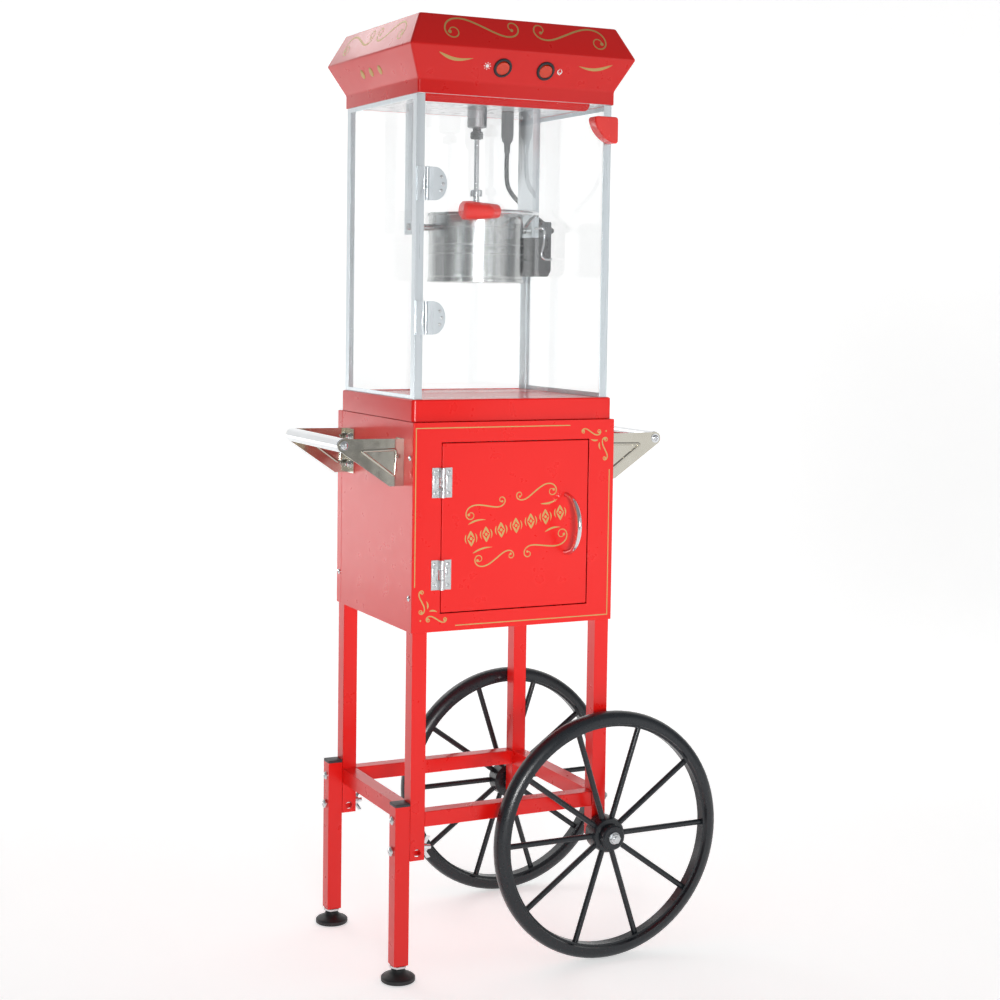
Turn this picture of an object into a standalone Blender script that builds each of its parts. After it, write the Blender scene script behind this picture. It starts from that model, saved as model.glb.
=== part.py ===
# Popcorn cart: a tabletop corn popper standing on a wheeled cabinet frame.
# Metres, +Z up.  The cabinet door faces -Y, the spoked wheels are at the +X end.
# Shapes are laid out around the cabinet's centre line and hang from one empty, which
# puts the middle of the whole cart's footprint at the world origin.
import math

import bmesh
import bpy
from mathutils import Matrix, Vector

for leftover in list(bpy.data.objects):
    bpy.data.objects.remove(leftover, do_unlink=True)

# ---------------------------------------------------------------- driving dimensions
GAP = 0.0003                # air left between neighbouring pieces
SHEET = 0.0012              # painted sheet steel
TUBE = 0.0200               # square leg tube, outside
TUBE_WALL = 0.0012
EDGE = 0.0010               # softened rims of turned and moulded pieces
CUT = 0.0100                # how far a hidden tool reaches past what it cuts

CABINET_WIDTH = 0.2868
CABINET_DEPTH = 0.2614
CABINET_BOTTOM = 0.4466
CABINET_HEIGHT = 0.2652
LEG_INSET = 0.0024          # cabinet skin to leg
LEG_BELOW_AXLE = 0.0098
REAR_WRAP = 0.0157          # side strip folded round from the rear panel

RAIL_ABOVE_AXLE = 0.0520    # axle to the rails' upper face
RAIL_HEIGHT = 0.0196

EXTENSION_BOTTOM = 0.0208
EXTENSION_ABOVE_RAIL = 0.0096
EXTENSION_PLUG = 0.0100     # threaded plug closing the lower end
CAP_THICKNESS = 0.0030
BOLT_RADIUS = 0.0030
BOLT_ABOVE_AXLE = 0.0034
BOLT_HEAD_RADIUS = 0.0055
BOLT_HEAD_HEIGHT = 0.0040
BOLT_TIP = 0.0120           # beyond the leg
WING_BOSS_RADIUS = 0.0060
WING_BOSS_HEIGHT = 0.0065
WING_RISE = 0.0105          # boss to the wings' tips
WING_THICKNESS = 0.0020
SIGHT_HOLE_RADIUS = 0.0050

FOOT_RADIUS = 0.0220
FOOT_SOLE = 0.0070
FOOT_NECK = 0.0088
FOOT_COLLAR = 0.0100
FOOT_STEM_RADIUS = 0.0040
FOOT_STEM_REACH = 0.0260

WHEEL_RADIUS = 0.1643
RIM_WIDTH = 0.0250          # along the axle
RIM_DEPTH = 0.0194          # radially
SPOKE_COUNT = 10
SPOKE_RADIUS = 0.0038
HUB_RADIUS = 0.0235
HUB_CAP_RADIUS = 0.0165
HUB_LENGTH = 0.0400
HUB_CAP_LENGTH = 0.0120
WHEEL_FLOOR_GAP = 0.0003
AXLE_RADIUS = 0.0040
AXLE_SPACER = 0.0040
AXLE_TIP = 0.0100           # inside the leg
AXLE_HEAD = 0.0060
AXLE_NUT = 0.0050
SPACER_RADIUS = 0.0092
NUT_RADIUS = 0.0072
NUT_THICKNESS = 0.0070

DOOR_BORDER_LEFT = 0.0399   # cabinet's edge to the door's, on each side
DOOR_BORDER_RIGHT = 0.0379
DOOR_BORDER_BOTTOM = 0.0239
DOOR_BORDER_TOP = 0.0263
DOOR_THICKNESS = 0.0120
DOOR_SEAM = 0.0010
HINGE_HEIGHT = 0.0380
HINGE_FROM_BOTTOM = 0.0295  # door's corner to the near end of each hinge
HINGE_FROM_TOP = 0.0307
HINGE_LEAF = 0.0138
KNUCKLE_RADIUS = 0.0034
LEAF_THICKNESS = 0.0010
PULL_SPAN = 0.0760
PULL_RADIUS = 0.0030
PULL_FROM_RIGHT = 0.0323    # door's edge to the pull
PULL_FROM_BOTTOM = 0.1062

BRACKET_FROM_FRONT = 0.0312     # cabinet's corners to the bracket plates
BRACKET_FROM_REAR = 0.0402
HANDLE_REACH = 0.0808       # side panel to the bar's axis
HANDLE_BELOW_BRACKET_TOP = 0.0075
BAR_RADIUS = 0.0090
BRACKET_SHEET = 0.0015
BRACKET_BELOW_TOP = 0.0218  # cabinet's top to the bracket's
BRACKET_HEIGHT = 0.0600
BRACKET_FOOT = 0.0190       # length of the level lower edge
BRACKET_FLANGE = 0.0220

TRAY_INSET_X = 0.0011       # cabinet's skin to the tray's
TRAY_INSET_Y = 0.0083
TRAY_MID_Y = -0.0018
TRAY_HEIGHT = 0.0281
TRAY_RECESS = 0.0015

CASE_INSET_X = 0.0038       # tray's skin to the posts
CASE_INSET_Y = 0.0044
CASE_HEIGHT = 0.3811        # tray's rim to the hood
POST_FLANGE = 0.0115
POST_WALL = 0.0012
CASE_STRIP = 0.0060         # strips joining two posts at foot and head
PANE = 0.0020
CASE_DOOR_PANE = 0.0030
CASE_DOOR_INSET = 0.0021    # case's right side to the door's edge
CASE_HINGE_HEIGHT = 0.0420
CASE_HINGE_REACH = 0.0280
CASE_HINGE_FROM_BOTTOM = 0.1003
CASE_HINGE_FROM_TOP = 0.1096
CASE_KNUCKLE_RADIUS = 0.0025
KNOB_WIDTH = 0.0345
KNOB_HEIGHT = 0.0342
KNOB_DEPTH = 0.0190
KNOB_CORNER = 0.0040
KNOB_EDGE = 0.0012
KNOB_SWELL = 1.65           # 2 draws a quarter ellipse, 1 its chord
KNOB_BELOW_TOP = 0.0150

HOOD_BAND_HEIGHT = 0.0169
HOOD_LOWER_RISE = 0.0402
HOOD_UPPER_RISE = 0.0406
HOOD_BAND_MARGIN = (0.0007, 0.0057)     # posts to the band, in width and depth
HOOD_RIDGE_FLARE = (0.0197, 0.0207)     # band to the ridge
HOOD_CROWN_FLARE = (-0.0002, 0.0018)    # band to the crown
VENT_MID_Y = 0.0075
VENT_SIZE = (0.0104, 0.0120)
VENT_PITCH = 0.0294
LIP_SHORTER = 0.0450        # less than the case's width
LIP_HEIGHT = 0.0095
LIP_SHEET = 0.0016

SWITCH_SPACING = 0.0606
SWITCH_MID_X = 0.0018
SWITCH_BELOW_MIDDLE = 0.0017
ROCKER_RADIUS = 0.0088
ROCKER_LIFT = 0.0038        # pressed-out edge above the hood
ROCKER_DEPTH = 0.0060
ROCKER_PLAY = 0.0006

KETTLE_ROOM = 0.0550        # case's front to the kettle, for its grip and fingers
KETTLE_WALL = 0.0010
KETTLE_BELOW_HOOD = 0.2333  # hood's lower edge to the kettle's base
KETTLE_HEIGHT = 0.0910
PIVOT_BELOW_RIM = 0.0190
LID_BAR = 0.0120            # width of the fixed bar between the two lids
LID_THICKNESS = 0.0008
SHAFT_RADIUS = 0.0033
COUPLING_RADIUS = 0.0085
COUPLING_CONE = 0.0030
STUB_PLAY = 0.0008
COUPLING_HEIGHT = 0.0090
COUPLING_LIFT = 0.0210      # lid bar to coupling
STUB_RADIUS = 0.0040
SHAFT_IN_HOUSING = 0.0143
ARM_SHEET = 0.0015
ARM_WIDTH = 0.0440
RIGHT_ARM_ROOM = 0.0100     # kettle's wall to each arm
LEFT_ARM_ROOM = 0.0295
ARM_BELOW_PIN = 0.0100
ARM_LIP = 0.0090            # folded front edge
SLOT_WIDTH = 0.0030
SLOT_HEIGHTS = (0.0700, 0.1150)     # above the pins
PIN_RADIUS = 0.0045
PIN_HEAD = 0.0060           # left pin past its arm
GRIP_ROOM = 0.0220          # kettle's wall to the grip's axis
GRIP_RADII = (0.0125, 0.0092)       # butt and nose
GRIP_END = 0.0037           # closed end
HANDLE_STANDOFF = 0.0050    # rod to the kettle's wall
GRIP_LENGTH = 0.0530
GRIP_LEFT = -0.0610
ROD_RADIUS = 0.0030
KETTLE_FLOOR = 0.0040
KETTLE_BEAD = 0.0016        # rolled rim and foot
STIRRER_BOSS = (0.0060, 0.0090)     # radius and height
STIRRER_CLEAR = 0.0080      # blade's tip to the wall
BLADE = (0.0030, 0.0060)    # thickness and height
TERMINAL_ABOVE_PIN = 0.0120
TERMINAL_CORNER = 0.0040
TERMINAL_GAP = 0.0035       # right arm to the box
TERMINAL = (0.0280, 0.0360, 0.0740)
LEAD_RADIUS = 0.0032
PLUG_RADIUS = 0.0085
PLUG_INSET = 0.0010         # kettle's wall to the plug's axis
PLUG_Y = 0.0340
PLUG_LENGTH = 0.0553
HOUSING_RADIUS = 0.0130
HOUSING_HEIGHT = 0.0276
NECK_RADIUS = 0.0078
MOTOR_SIZE = (0.0950, 0.0500, 0.0320)
COLLAR_RADIUS = 0.0087
COLLAR_DROP = 0.0050        # housing to the collar's wide part
SPINDLE_RADIUS = 0.0058
COLLAR_HEIGHT = 0.0098

# ---------------------------------------------------------------- derived places
CABINET_TOP = CABINET_BOTTOM + CABINET_HEIGHT
HALF_WIDTH = CABINET_WIDTH / 2
HALF_DEPTH = CABINET_DEPTH / 2
AXLE_HEIGHT = WHEEL_RADIUS + WHEEL_FLOOR_GAP
LEG_BOTTOM = AXLE_HEIGHT - LEG_BELOW_AXLE
RAIL_TOP = AXLE_HEIGHT + RAIL_ABOVE_AXLE
EXTENSION_TOP = RAIL_TOP + EXTENSION_ABOVE_RAIL
BOLT_HEIGHT = AXLE_HEIGHT + BOLT_ABOVE_AXLE
LEG_X = HALF_WIDTH - LEG_INSET - TUBE / 2
LEG_Y = HALF_DEPTH - LEG_INSET - TUBE / 2
EXTENSION_X = -(LEG_X + TUBE + GAP)
HUB_START = LEG_Y + TUBE / 2 + AXLE_SPACER
WHEEL_Y = HUB_START + HUB_LENGTH / 2
AXLE_END = HUB_START + HUB_LENGTH + GAP + NUT_THICKNESS
HANDLE_X = HALF_WIDTH + HANDLE_REACH
BRACKET_Y = (-HALF_DEPTH + BRACKET_FROM_FRONT, HALF_DEPTH - BRACKET_FROM_REAR)
BRACKET_TOP = CABINET_TOP - BRACKET_BELOW_TOP
BRACKET_BOTTOM = BRACKET_TOP - BRACKET_HEIGHT
HANDLE_HEIGHT = BRACKET_TOP - HANDLE_BELOW_BRACKET_TOP

DOOR_LEFT = -HALF_WIDTH + DOOR_BORDER_LEFT
DOOR_RIGHT = HALF_WIDTH - DOOR_BORDER_RIGHT
DOOR_BOTTOM = CABINET_BOTTOM + DOOR_BORDER_BOTTOM
DOOR_TOP = CABINET_TOP - DOOR_BORDER_TOP
HINGE_BASES = (DOOR_BOTTOM + HINGE_FROM_BOTTOM, DOOR_TOP - HINGE_FROM_TOP - HINGE_HEIGHT)
PULL_X = DOOR_RIGHT - PULL_FROM_RIGHT
PULL_HEIGHT = DOOR_BOTTOM + PULL_FROM_BOTTOM

TRAY_X = HALF_WIDTH - TRAY_INSET_X
TRAY_Y = HALF_DEPTH - TRAY_INSET_Y
TRAY_BOTTOM = CABINET_TOP + GAP
TRAY_TOP = TRAY_BOTTOM + TRAY_HEIGHT
DECK = TRAY_TOP - TRAY_RECESS
HOOD_BAND_BOTTOM = TRAY_TOP + CASE_HEIGHT
CASE_BOTTOM = DECK + GAP
CASE_TOP = HOOD_BAND_BOTTOM - GAP
CASE_X = TRAY_X - CASE_INSET_X
CASE_Y = TRAY_Y - CASE_INSET_Y
CASE_DOOR_RIGHT = CASE_X - CASE_DOOR_INSET
CASE_DOOR_BACK = -(CASE_Y + GAP)
CASE_DOOR_FRONT = CASE_DOOR_BACK - CASE_DOOR_PANE
CASE_DOOR_LEFT = -CASE_X + POST_FLANGE + 0.0008
CASE_DOOR_BOTTOM = TRAY_TOP + 0.0020
CASE_DOOR_TOP = HOOD_BAND_BOTTOM - 0.0020
CASE_HINGE = (CASE_DOOR_LEFT, CASE_DOOR_FRONT - GAP - CASE_KNUCKLE_RADIUS)
CASE_HINGE_CENTRES = (CASE_DOOR_BOTTOM + CASE_HINGE_FROM_BOTTOM, CASE_DOOR_TOP - CASE_HINGE_FROM_TOP)

HOOD_BAND = (CASE_X + HOOD_BAND_MARGIN[0], CASE_Y + HOOD_BAND_MARGIN[1])    # half width, half depth
HOOD_RIDGE = (HOOD_BAND[0] + HOOD_RIDGE_FLARE[0], HOOD_BAND[1] + HOOD_RIDGE_FLARE[1])
HOOD_CROWN = (HOOD_BAND[0] + HOOD_CROWN_FLARE[0], HOOD_BAND[1] + HOOD_CROWN_FLARE[1])
HOOD_HEIGHTS = (HOOD_BAND_BOTTOM, HOOD_BAND_BOTTOM + HOOD_BAND_HEIGHT,
                HOOD_BAND_BOTTOM + HOOD_BAND_HEIGHT + HOOD_LOWER_RISE,
                HOOD_BAND_BOTTOM + HOOD_BAND_HEIGHT + HOOD_LOWER_RISE + HOOD_UPPER_RISE)
HOOD_LEAN = math.atan2(HOOD_RIDGE[1] - HOOD_BAND[1], HOOD_LOWER_RISE)
CEILING = HOOD_BAND_BOTTOM + GAP

KETTLE_BOTTOM = HOOD_BAND_BOTTOM - KETTLE_BELOW_HOOD
KETTLE_RADIUS = CASE_Y - KETTLE_ROOM
RIGHT_ARM_X = KETTLE_RADIUS + RIGHT_ARM_ROOM
LEFT_ARM_X = -(KETTLE_RADIUS + LEFT_ARM_ROOM)
GRIP_Y = -(KETTLE_RADIUS + GRIP_ROOM)
RIM = KETTLE_BOTTOM + KETTLE_HEIGHT
PIVOT = RIM - PIVOT_BELOW_RIM
LID_Z = RIM + 0.0020
COUPLING_Z = LID_Z + LID_THICKNESS + COUPLING_LIFT
LID_EDGE = LID_BAR / 2 + GAP + LID_THICKNESS / 2    # the lids' hinge lines
HOUSING_BOTTOM = CEILING - GAP - HOUSING_HEIGHT
SHAFT_TOP = HOUSING_BOTTOM + SHAFT_IN_HOUSING
TERMINAL_LEFT = RIGHT_ARM_X + ARM_SHEET + TERMINAL_GAP
TERMINAL_RIGHT = TERMINAL_LEFT + TERMINAL[0]

DOOR_HINGE = (DOOR_LEFT - DOOR_SEAM / 2, -HALF_DEPTH - GAP - KNUCKLE_RADIUS)
FOOTPRINT_MID_X = (LEG_X + WHEEL_RADIUS - HANDLE_X - BAR_RADIUS) / 2

CART = bpy.data.objects.new("cart_origin", None)
CART.location = (-FOOTPRINT_MID_X, 0.0, 0.0)
bpy.context.collection.objects.link(CART)


# ---------------------------------------------------------------- materials
def make_material(name, colour, metallic, roughness, alpha=1.0):
    made = bpy.data.materials.new(name)
    made.use_nodes = True
    shader = made.node_tree.nodes["Principled BSDF"]
    shader.inputs["Base Color"].default_value = (*colour, 1.0)
    shader.inputs["Metallic"].default_value = metallic
    shader.inputs["Roughness"].default_value = roughness
    shader.inputs["Alpha"].default_value = alpha
    return made


def red_paint(name):
    return make_material(name, (0.72, 0.02, 0.02), 0.0, 0.28)


def chrome(name):
    return make_material(name, (0.82, 0.83, 0.84), 1.0, 0.12)


def aluminium(name):
    return make_material(name, (0.78, 0.80, 0.82), 1.0, 0.35)


def black_plastic(name):
    return make_material(name, (0.02, 0.022, 0.025), 0.0, 0.42)


def clear_acrylic(name):
    return make_material(name, (0.95, 0.97, 0.97), 0.0, 0.05, 0.35)


# ---------------------------------------------------------------- shape helpers
def add_box(bm, low, high):
    low, high = Vector(low), Vector(high)
    place = Matrix.Translation((low + high) / 2) @ Matrix.Diagonal((*(high - low), 1.0))
    bmesh.ops.create_cube(bm, size=1.0, matrix=place)


def add_rod(bm, start, end, radius, end_radius=None, segments=24):
    start, end = Vector(start), Vector(end)
    axis = end - start
    place = Matrix.Translation((start + end) / 2) @ axis.to_track_quat("Z", "Y").to_matrix().to_4x4()
    bmesh.ops.create_cone(bm, cap_ends=True, segments=segments, radius1=radius,
                          radius2=radius if end_radius is None else end_radius,
                          depth=axis.length, matrix=place)


def put(axis, a, b, along):
    """A point from two outline coordinates and one along the given axis."""
    if axis == "X":
        return (along, a, b)
    if axis == "Y":
        return (a, along, b)
    return (a, b, along)


def add_prism(bm, outline, axis, low, high):
    lower = [bm.verts.new(put(axis, a, b, low)) for a, b in outline]
    upper = [bm.verts.new(put(axis, a, b, high)) for a, b in outline]
    bm.faces.new(lower[::-1])
    bm.faces.new(upper)
    for near, far in zip(range(len(outline)), [*range(1, len(outline)), 0]):
        bm.faces.new((lower[near], lower[far], upper[far], upper[near]))


def rectangle(a0, a1, b0, b1):
    return [(a0, b0), (a1, b0), (a1, b1), (a0, b1)]


def add_hollow_prism(bm, outer, inner, axis, low, high):
    """A prism with a matching hole through it; both outlines have as many points."""
    rings = [[bm.verts.new(put(axis, a, b, level)) for a, b in outline]
             for outline, level in ((outer, low), (outer, high), (inner, high), (inner, low))]
    count = len(outer)
    for ring, other in zip(rings, rings[1:] + rings[:1]):
        for near in range(count):
            far = (near + 1) % count
            bm.faces.new((ring[near], ring[far], other[far], other[near]))


def add_lathe(bm, profile, origin, axis="Z", segments=48, closed=False):
    """Spin (radius, height) points round an axis; closed joins the last to the first."""
    origin = Vector(origin)
    rings = []
    for radius, height in profile:
        count = 1 if radius < 1e-7 else segments
        turns = [2 * math.pi * step / segments for step in range(count)]
        rings.append([bm.verts.new(origin + Vector(put(axis, radius * math.cos(turn),
                                                       radius * math.sin(turn), height)))
                      for turn in turns])
    pairs = list(zip(rings, rings[1:]))
    if closed:
        pairs.append((rings[-1], rings[0]))
    for ring, other in pairs:
        for near in range(segments):
            far = near + 1
            corners = [ring[near % len(ring)], ring[far % len(ring)],
                       other[far % len(other)], other[near % len(other)]]
            bm.faces.new(list(dict.fromkeys(corners)))
    if not closed:
        for ring in (rings[0], rings[-1]):
            if len(ring) > 1:
                bm.faces.new(ring)


def smooth_path(points, steps=6):
    """Catmull-Rom curve through hand-chosen points."""
    points = [Vector(point) for point in points]
    padded = [2 * points[0] - points[1], *points, 2 * points[-1] - points[-2]]
    path = []
    for before, here, there, after in zip(padded, padded[1:], padded[2:], padded[3:]):
        for step in range(steps):
            t = step / steps
            path.append(0.5 * (2 * here + (there - before) * t
                               + (2 * before - 5 * here + 4 * there - after) * t ** 2
                               + (3 * here - before - 3 * there + after) * t ** 3))
    return [*path, points[-1]]


def add_sweep(bm, path, radius, sides=12):
    path = [Vector(point) for point in path]
    tangents = [(path[min(i + 1, len(path) - 1)] - path[max(i - 1, 0)]).normalized()
                for i in range(len(path))]
    side = tangents[0].orthogonal().normalized()
    rings = []
    for point, tangent in zip(path, tangents):
        side = (side - tangent * side.dot(tangent)).normalized()
        across = tangent.cross(side)
        rings.append([bm.verts.new(point + radius * (side * math.cos(turn) + across * math.sin(turn)))
                      for turn in (2 * math.pi * k / sides for k in range(sides))])
    for ring, other in zip(rings, rings[1:]):
        for near in range(sides):
            far = (near + 1) % sides
            bm.faces.new((ring[near], ring[far], other[far], other[near]))
    bm.faces.new(rings[0][::-1])
    bm.faces.new(rings[-1])


def finish(name, bm, material=None, pivot=(0.0, 0.0, 0.0)):
    """Turn a bmesh into an object whose origin is the pivot."""
    bmesh.ops.recalc_face_normals(bm, faces=bm.faces)
    bmesh.ops.translate(bm, verts=bm.verts, vec=-Vector(pivot))
    mesh = bpy.data.meshes.new(name)
    bm.to_mesh(mesh)
    bm.free()
    made = bpy.data.objects.new(name, mesh)
    made.location = pivot
    made.parent = CART
    bpy.context.collection.objects.link(made)
    if material:
        mesh.materials.append(material)
    else:
        made.hide_render = True
        made.display_type = "WIRE"
    return made


def combine(target, tool, operation):
    step = target.modifiers.new(tool.name, "BOOLEAN")
    step.operation = operation
    step.solver = "EXACT"
    step.object = tool


def cut_with(target, name, fill):
    """Cut away a hidden solid that fill(bm) draws."""
    bm = bmesh.new()
    fill(bm)
    combine(target, finish("cut_" + name, bm), "DIFFERENCE")


def weld_on(target, name, fill):
    """Join a hidden solid that fill(bm) draws, as one piece."""
    bm = bmesh.new()
    fill(bm)
    combine(target, finish("add_" + name, bm), "UNION")


# ---------------------------------------------------------------- cart frame
def build_end_frames():
    """Two legs and the rail between them are welded into one frame at each end."""
    half, bore = TUBE / 2, TUBE / 2 - TUBE_WALL
    for end, x in (("left", -LEG_X), ("right", LEG_X)):
        name = f"end_frame_{end}"
        bm = bmesh.new()
        for y in (-LEG_Y, LEG_Y):
            add_hollow_prism(bm, rectangle(x - half, x + half, y - half, y + half),
                             rectangle(x - bore, x + bore, y - bore, y + bore),
                             "Z", LEG_BOTTOM, CABINET_TOP - GAP)
        frame = finish(name, bm, red_paint(name))
        reach = LEG_Y - half + TUBE_WALL / 2
        weld_on(frame, name + "_rail", lambda tool: add_box(
            tool, (x - half + GAP, -reach, RAIL_TOP - RAIL_HEIGHT), (x + half - GAP, reach, RAIL_TOP)))
        hole = AXLE_RADIUS + GAP if end == "right" else SIGHT_HOLE_RADIUS
        for row, y in (("front", -LEG_Y), ("rear", LEG_Y)):
            cut_with(frame, f"{name}_{row}_cross_hole", lambda tool: add_rod(
                tool, (x, y - TUBE, AXLE_HEIGHT), (x, y + TUBE, AXLE_HEIGHT), hole))
            if end == "left":
                cut_with(frame, f"{name}_{row}_bolt_hole", lambda tool: add_rod(
                    tool, (x - TUBE, y, BOLT_HEIGHT), (x + TUBE, y, BOLT_HEIGHT), BOLT_RADIUS + GAP))


def build_long_rails():
    x, half = LEG_X - TUBE / 2 - GAP, TUBE / 2
    for row, side in (("front", -1), ("rear", 1)):
        bm = bmesh.new()
        add_box(bm, (-x, side * LEG_Y - half, RAIL_TOP - RAIL_HEIGHT), (x, side * LEG_Y + half, RAIL_TOP))
        finish(f"rail_{row}", bm, red_paint(f"rail_{row}"))


def build_extension_legs():
    """Capped tubes bolted outside the left legs bring that end level with the wheels."""
    half, bore, x = TUBE / 2, TUBE / 2 - TUBE_WALL, EXTENSION_X
    for row, y in (("front", -LEG_Y), ("rear", LEG_Y)):
        name = f"extension_leg_{row}"
        bm = bmesh.new()
        add_box(bm, (x - half, y - half, EXTENSION_BOTTOM),
                (x + half, y + half, EXTENSION_TOP + CAP_THICKNESS))
        leg = finish(name, bm, red_paint(name))
        cut_with(leg, name + "_bore", lambda tool: add_box(
            tool, (x - bore, y - bore, EXTENSION_BOTTOM + EXTENSION_PLUG),
            (x + bore, y + bore, EXTENSION_TOP)))
        cut_with(leg, name + "_foot_hole", lambda tool: add_rod(
            tool, (x, y, EXTENSION_BOTTOM - half), (x, y, EXTENSION_BOTTOM + TUBE),
            FOOT_STEM_RADIUS + GAP))
        cut_with(leg, name + "_bolt_hole", lambda tool: add_rod(
            tool, (x - TUBE, y, BOLT_HEIGHT), (x + TUBE, y, BOLT_HEIGHT), BOLT_RADIUS + GAP))
        build_wing_bolt(row, x - half - GAP, y)
        build_foot(row, x, y)


def build_wing_bolt(row, face, y):
    """Head outside, shank through both tubes, wing nut inside the cart."""
    radius, head, dome = BOLT_RADIUS, BOLT_HEAD_RADIUS, BOLT_HEAD_HEIGHT
    nut = -LEG_X + TUBE / 2 + GAP
    boss, tip = nut + WING_BOSS_HEIGHT, nut + BOLT_TIP
    bm = bmesh.new()
    add_lathe(bm, [(0, face - dome), (head * 0.7, face - dome * 0.95), (head, face - dome * 0.55),
                   (head, face), (radius, face), (radius, nut), (WING_BOSS_RADIUS, nut),
                   (WING_BOSS_RADIUS * 0.8, boss), (radius, boss), (radius, tip), (0, tip)],
              (0, y, BOLT_HEIGHT), "X", 24)
    bolt = finish(f"wing_bolt_{row}", bm, chrome(f"wing_bolt_{row}"))

    def fill_wings(tool):
        for side in (-1, 1):
            root = BOLT_HEIGHT + side * (radius + EDGE)
            add_prism(tool, [(nut + EDGE, root), (boss - EDGE, root),
                             (tip, root + side * (WING_RISE - EDGE)),
                             (boss + EDGE / 2, root + side * WING_RISE)],
                      "Y", y - WING_THICKNESS / 2, y + WING_THICKNESS / 2)
    weld_on(bolt, f"wing_bolt_{row}_wings", fill_wings)


def build_foot(row, x, y):
    neck, tip = EXTENSION_BOTTOM - GAP, EXTENSION_BOTTOM + FOOT_STEM_REACH
    bm = bmesh.new()
    sole, step = FOOT_SOLE, (neck - FOOT_SOLE) / 5
    add_lathe(bm, [(0, 0), (FOOT_RADIUS - EDGE, 0), (FOOT_RADIUS, EDGE), (FOOT_RADIUS, sole - 2 * EDGE),
                   (FOOT_RADIUS - 2 * EDGE, sole), (FOOT_NECK + 5 * EDGE, sole + step),
                   (FOOT_NECK + EDGE, sole + 2 * step), (FOOT_NECK, sole + 3 * step),
                   (FOOT_COLLAR, sole + 4 * step), (FOOT_COLLAR, neck),
                   (FOOT_STEM_RADIUS, neck), (FOOT_STEM_RADIUS, tip), (0, tip)], (x, y, 0), "Z", 40)
    finish(f"foot_{row}", bm, black_plastic(f"foot_{row}"), (x, y, 0))


def build_wheels():
    """Moulded wheels on fixed bolts: hub, spokes and rim are one piece."""
    for row, side in (("front", -1), ("rear", 1)):
        start, end = side * HUB_START, side * (HUB_START + HUB_LENGTH)
        middle = side * WHEEL_Y
        centre = (LEG_X, 0, AXLE_HEIGHT)
        bore = AXLE_RADIUS + GAP
        bm = bmesh.new()
        cap = end - side * HUB_CAP_LENGTH
        add_lathe(bm, [(bore, start), (HUB_RADIUS * 0.80, start), (HUB_RADIUS, start + side * 4 * EDGE),
                       (HUB_RADIUS, cap - side * 4 * EDGE), (HUB_RADIUS - 2 * EDGE, cap - side * EDGE),
                       (HUB_CAP_RADIUS, cap), (HUB_CAP_RADIUS, end - side * 2 * EDGE),
                       (HUB_CAP_RADIUS - 2 * EDGE, end), (bore, end)], centre, "Y", 48, closed=True)
        inner, half = WHEEL_RADIUS - RIM_DEPTH, RIM_WIDTH / 2
        crown = [(inner + RIM_DEPTH * reach, middle + half * across) for reach, across in
                 ((0, -0.55), (0.12, -0.62), (0.20, -0.95), (0.45, -1.0), (0.80, -0.80), (0.96, -0.45),
                  (1.0, 0), (0.96, 0.45), (0.80, 0.80), (0.45, 1.0), (0.20, 0.95), (0.12, 0.62),
                  (0, 0.55))]
        add_lathe(bm, crown, centre, "Y", 96, closed=True)
        name = f"wheel_{row}"
        wheel = finish(name, bm, black_plastic(name), (LEG_X, middle, AXLE_HEIGHT))

        def fill_spokes(tool):
            for spoke in range(SPOKE_COUNT):
                turn = 2 * math.pi * spoke / SPOKE_COUNT
                ray = Vector((math.cos(turn), 0, math.sin(turn)))
                hub = Vector((LEG_X, middle, AXLE_HEIGHT))
                add_rod(tool, hub + ray * (HUB_RADIUS - 3 * EDGE), hub + ray * (inner + 3 * EDGE),
                        SPOKE_RADIUS, segments=12)
        weld_on(wheel, name + "_spokes", fill_spokes)
        inside, leg = side * (LEG_Y - TUBE / 2 - GAP), side * (LEG_Y + TUBE / 2 + GAP)
        tip, head = inside - side * AXLE_TIP, inside - side * AXLE_HEAD
        nut, spacer = side * (HUB_START + HUB_LENGTH + GAP), start - side * GAP
        bm = bmesh.new()
        add_lathe(bm, [(0, tip), (AXLE_RADIUS, tip), (AXLE_RADIUS, head), (NUT_RADIUS, head),
                       (NUT_RADIUS, inside), (AXLE_RADIUS, inside), (AXLE_RADIUS, leg),
                       (SPACER_RADIUS, leg), (SPACER_RADIUS, spacer), (AXLE_RADIUS, spacer),
                       (AXLE_RADIUS, nut), (NUT_RADIUS, nut), (NUT_RADIUS, nut + side * AXLE_NUT),
                       (AXLE_RADIUS, nut + side * (AXLE_NUT + EDGE)),
                       (AXLE_RADIUS, side * AXLE_END), (0, side * AXLE_END)], centre, "Y", 24)
        finish(f"axle_bolt_{row}", bm, chrome(f"axle_bolt_{row}"))


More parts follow.
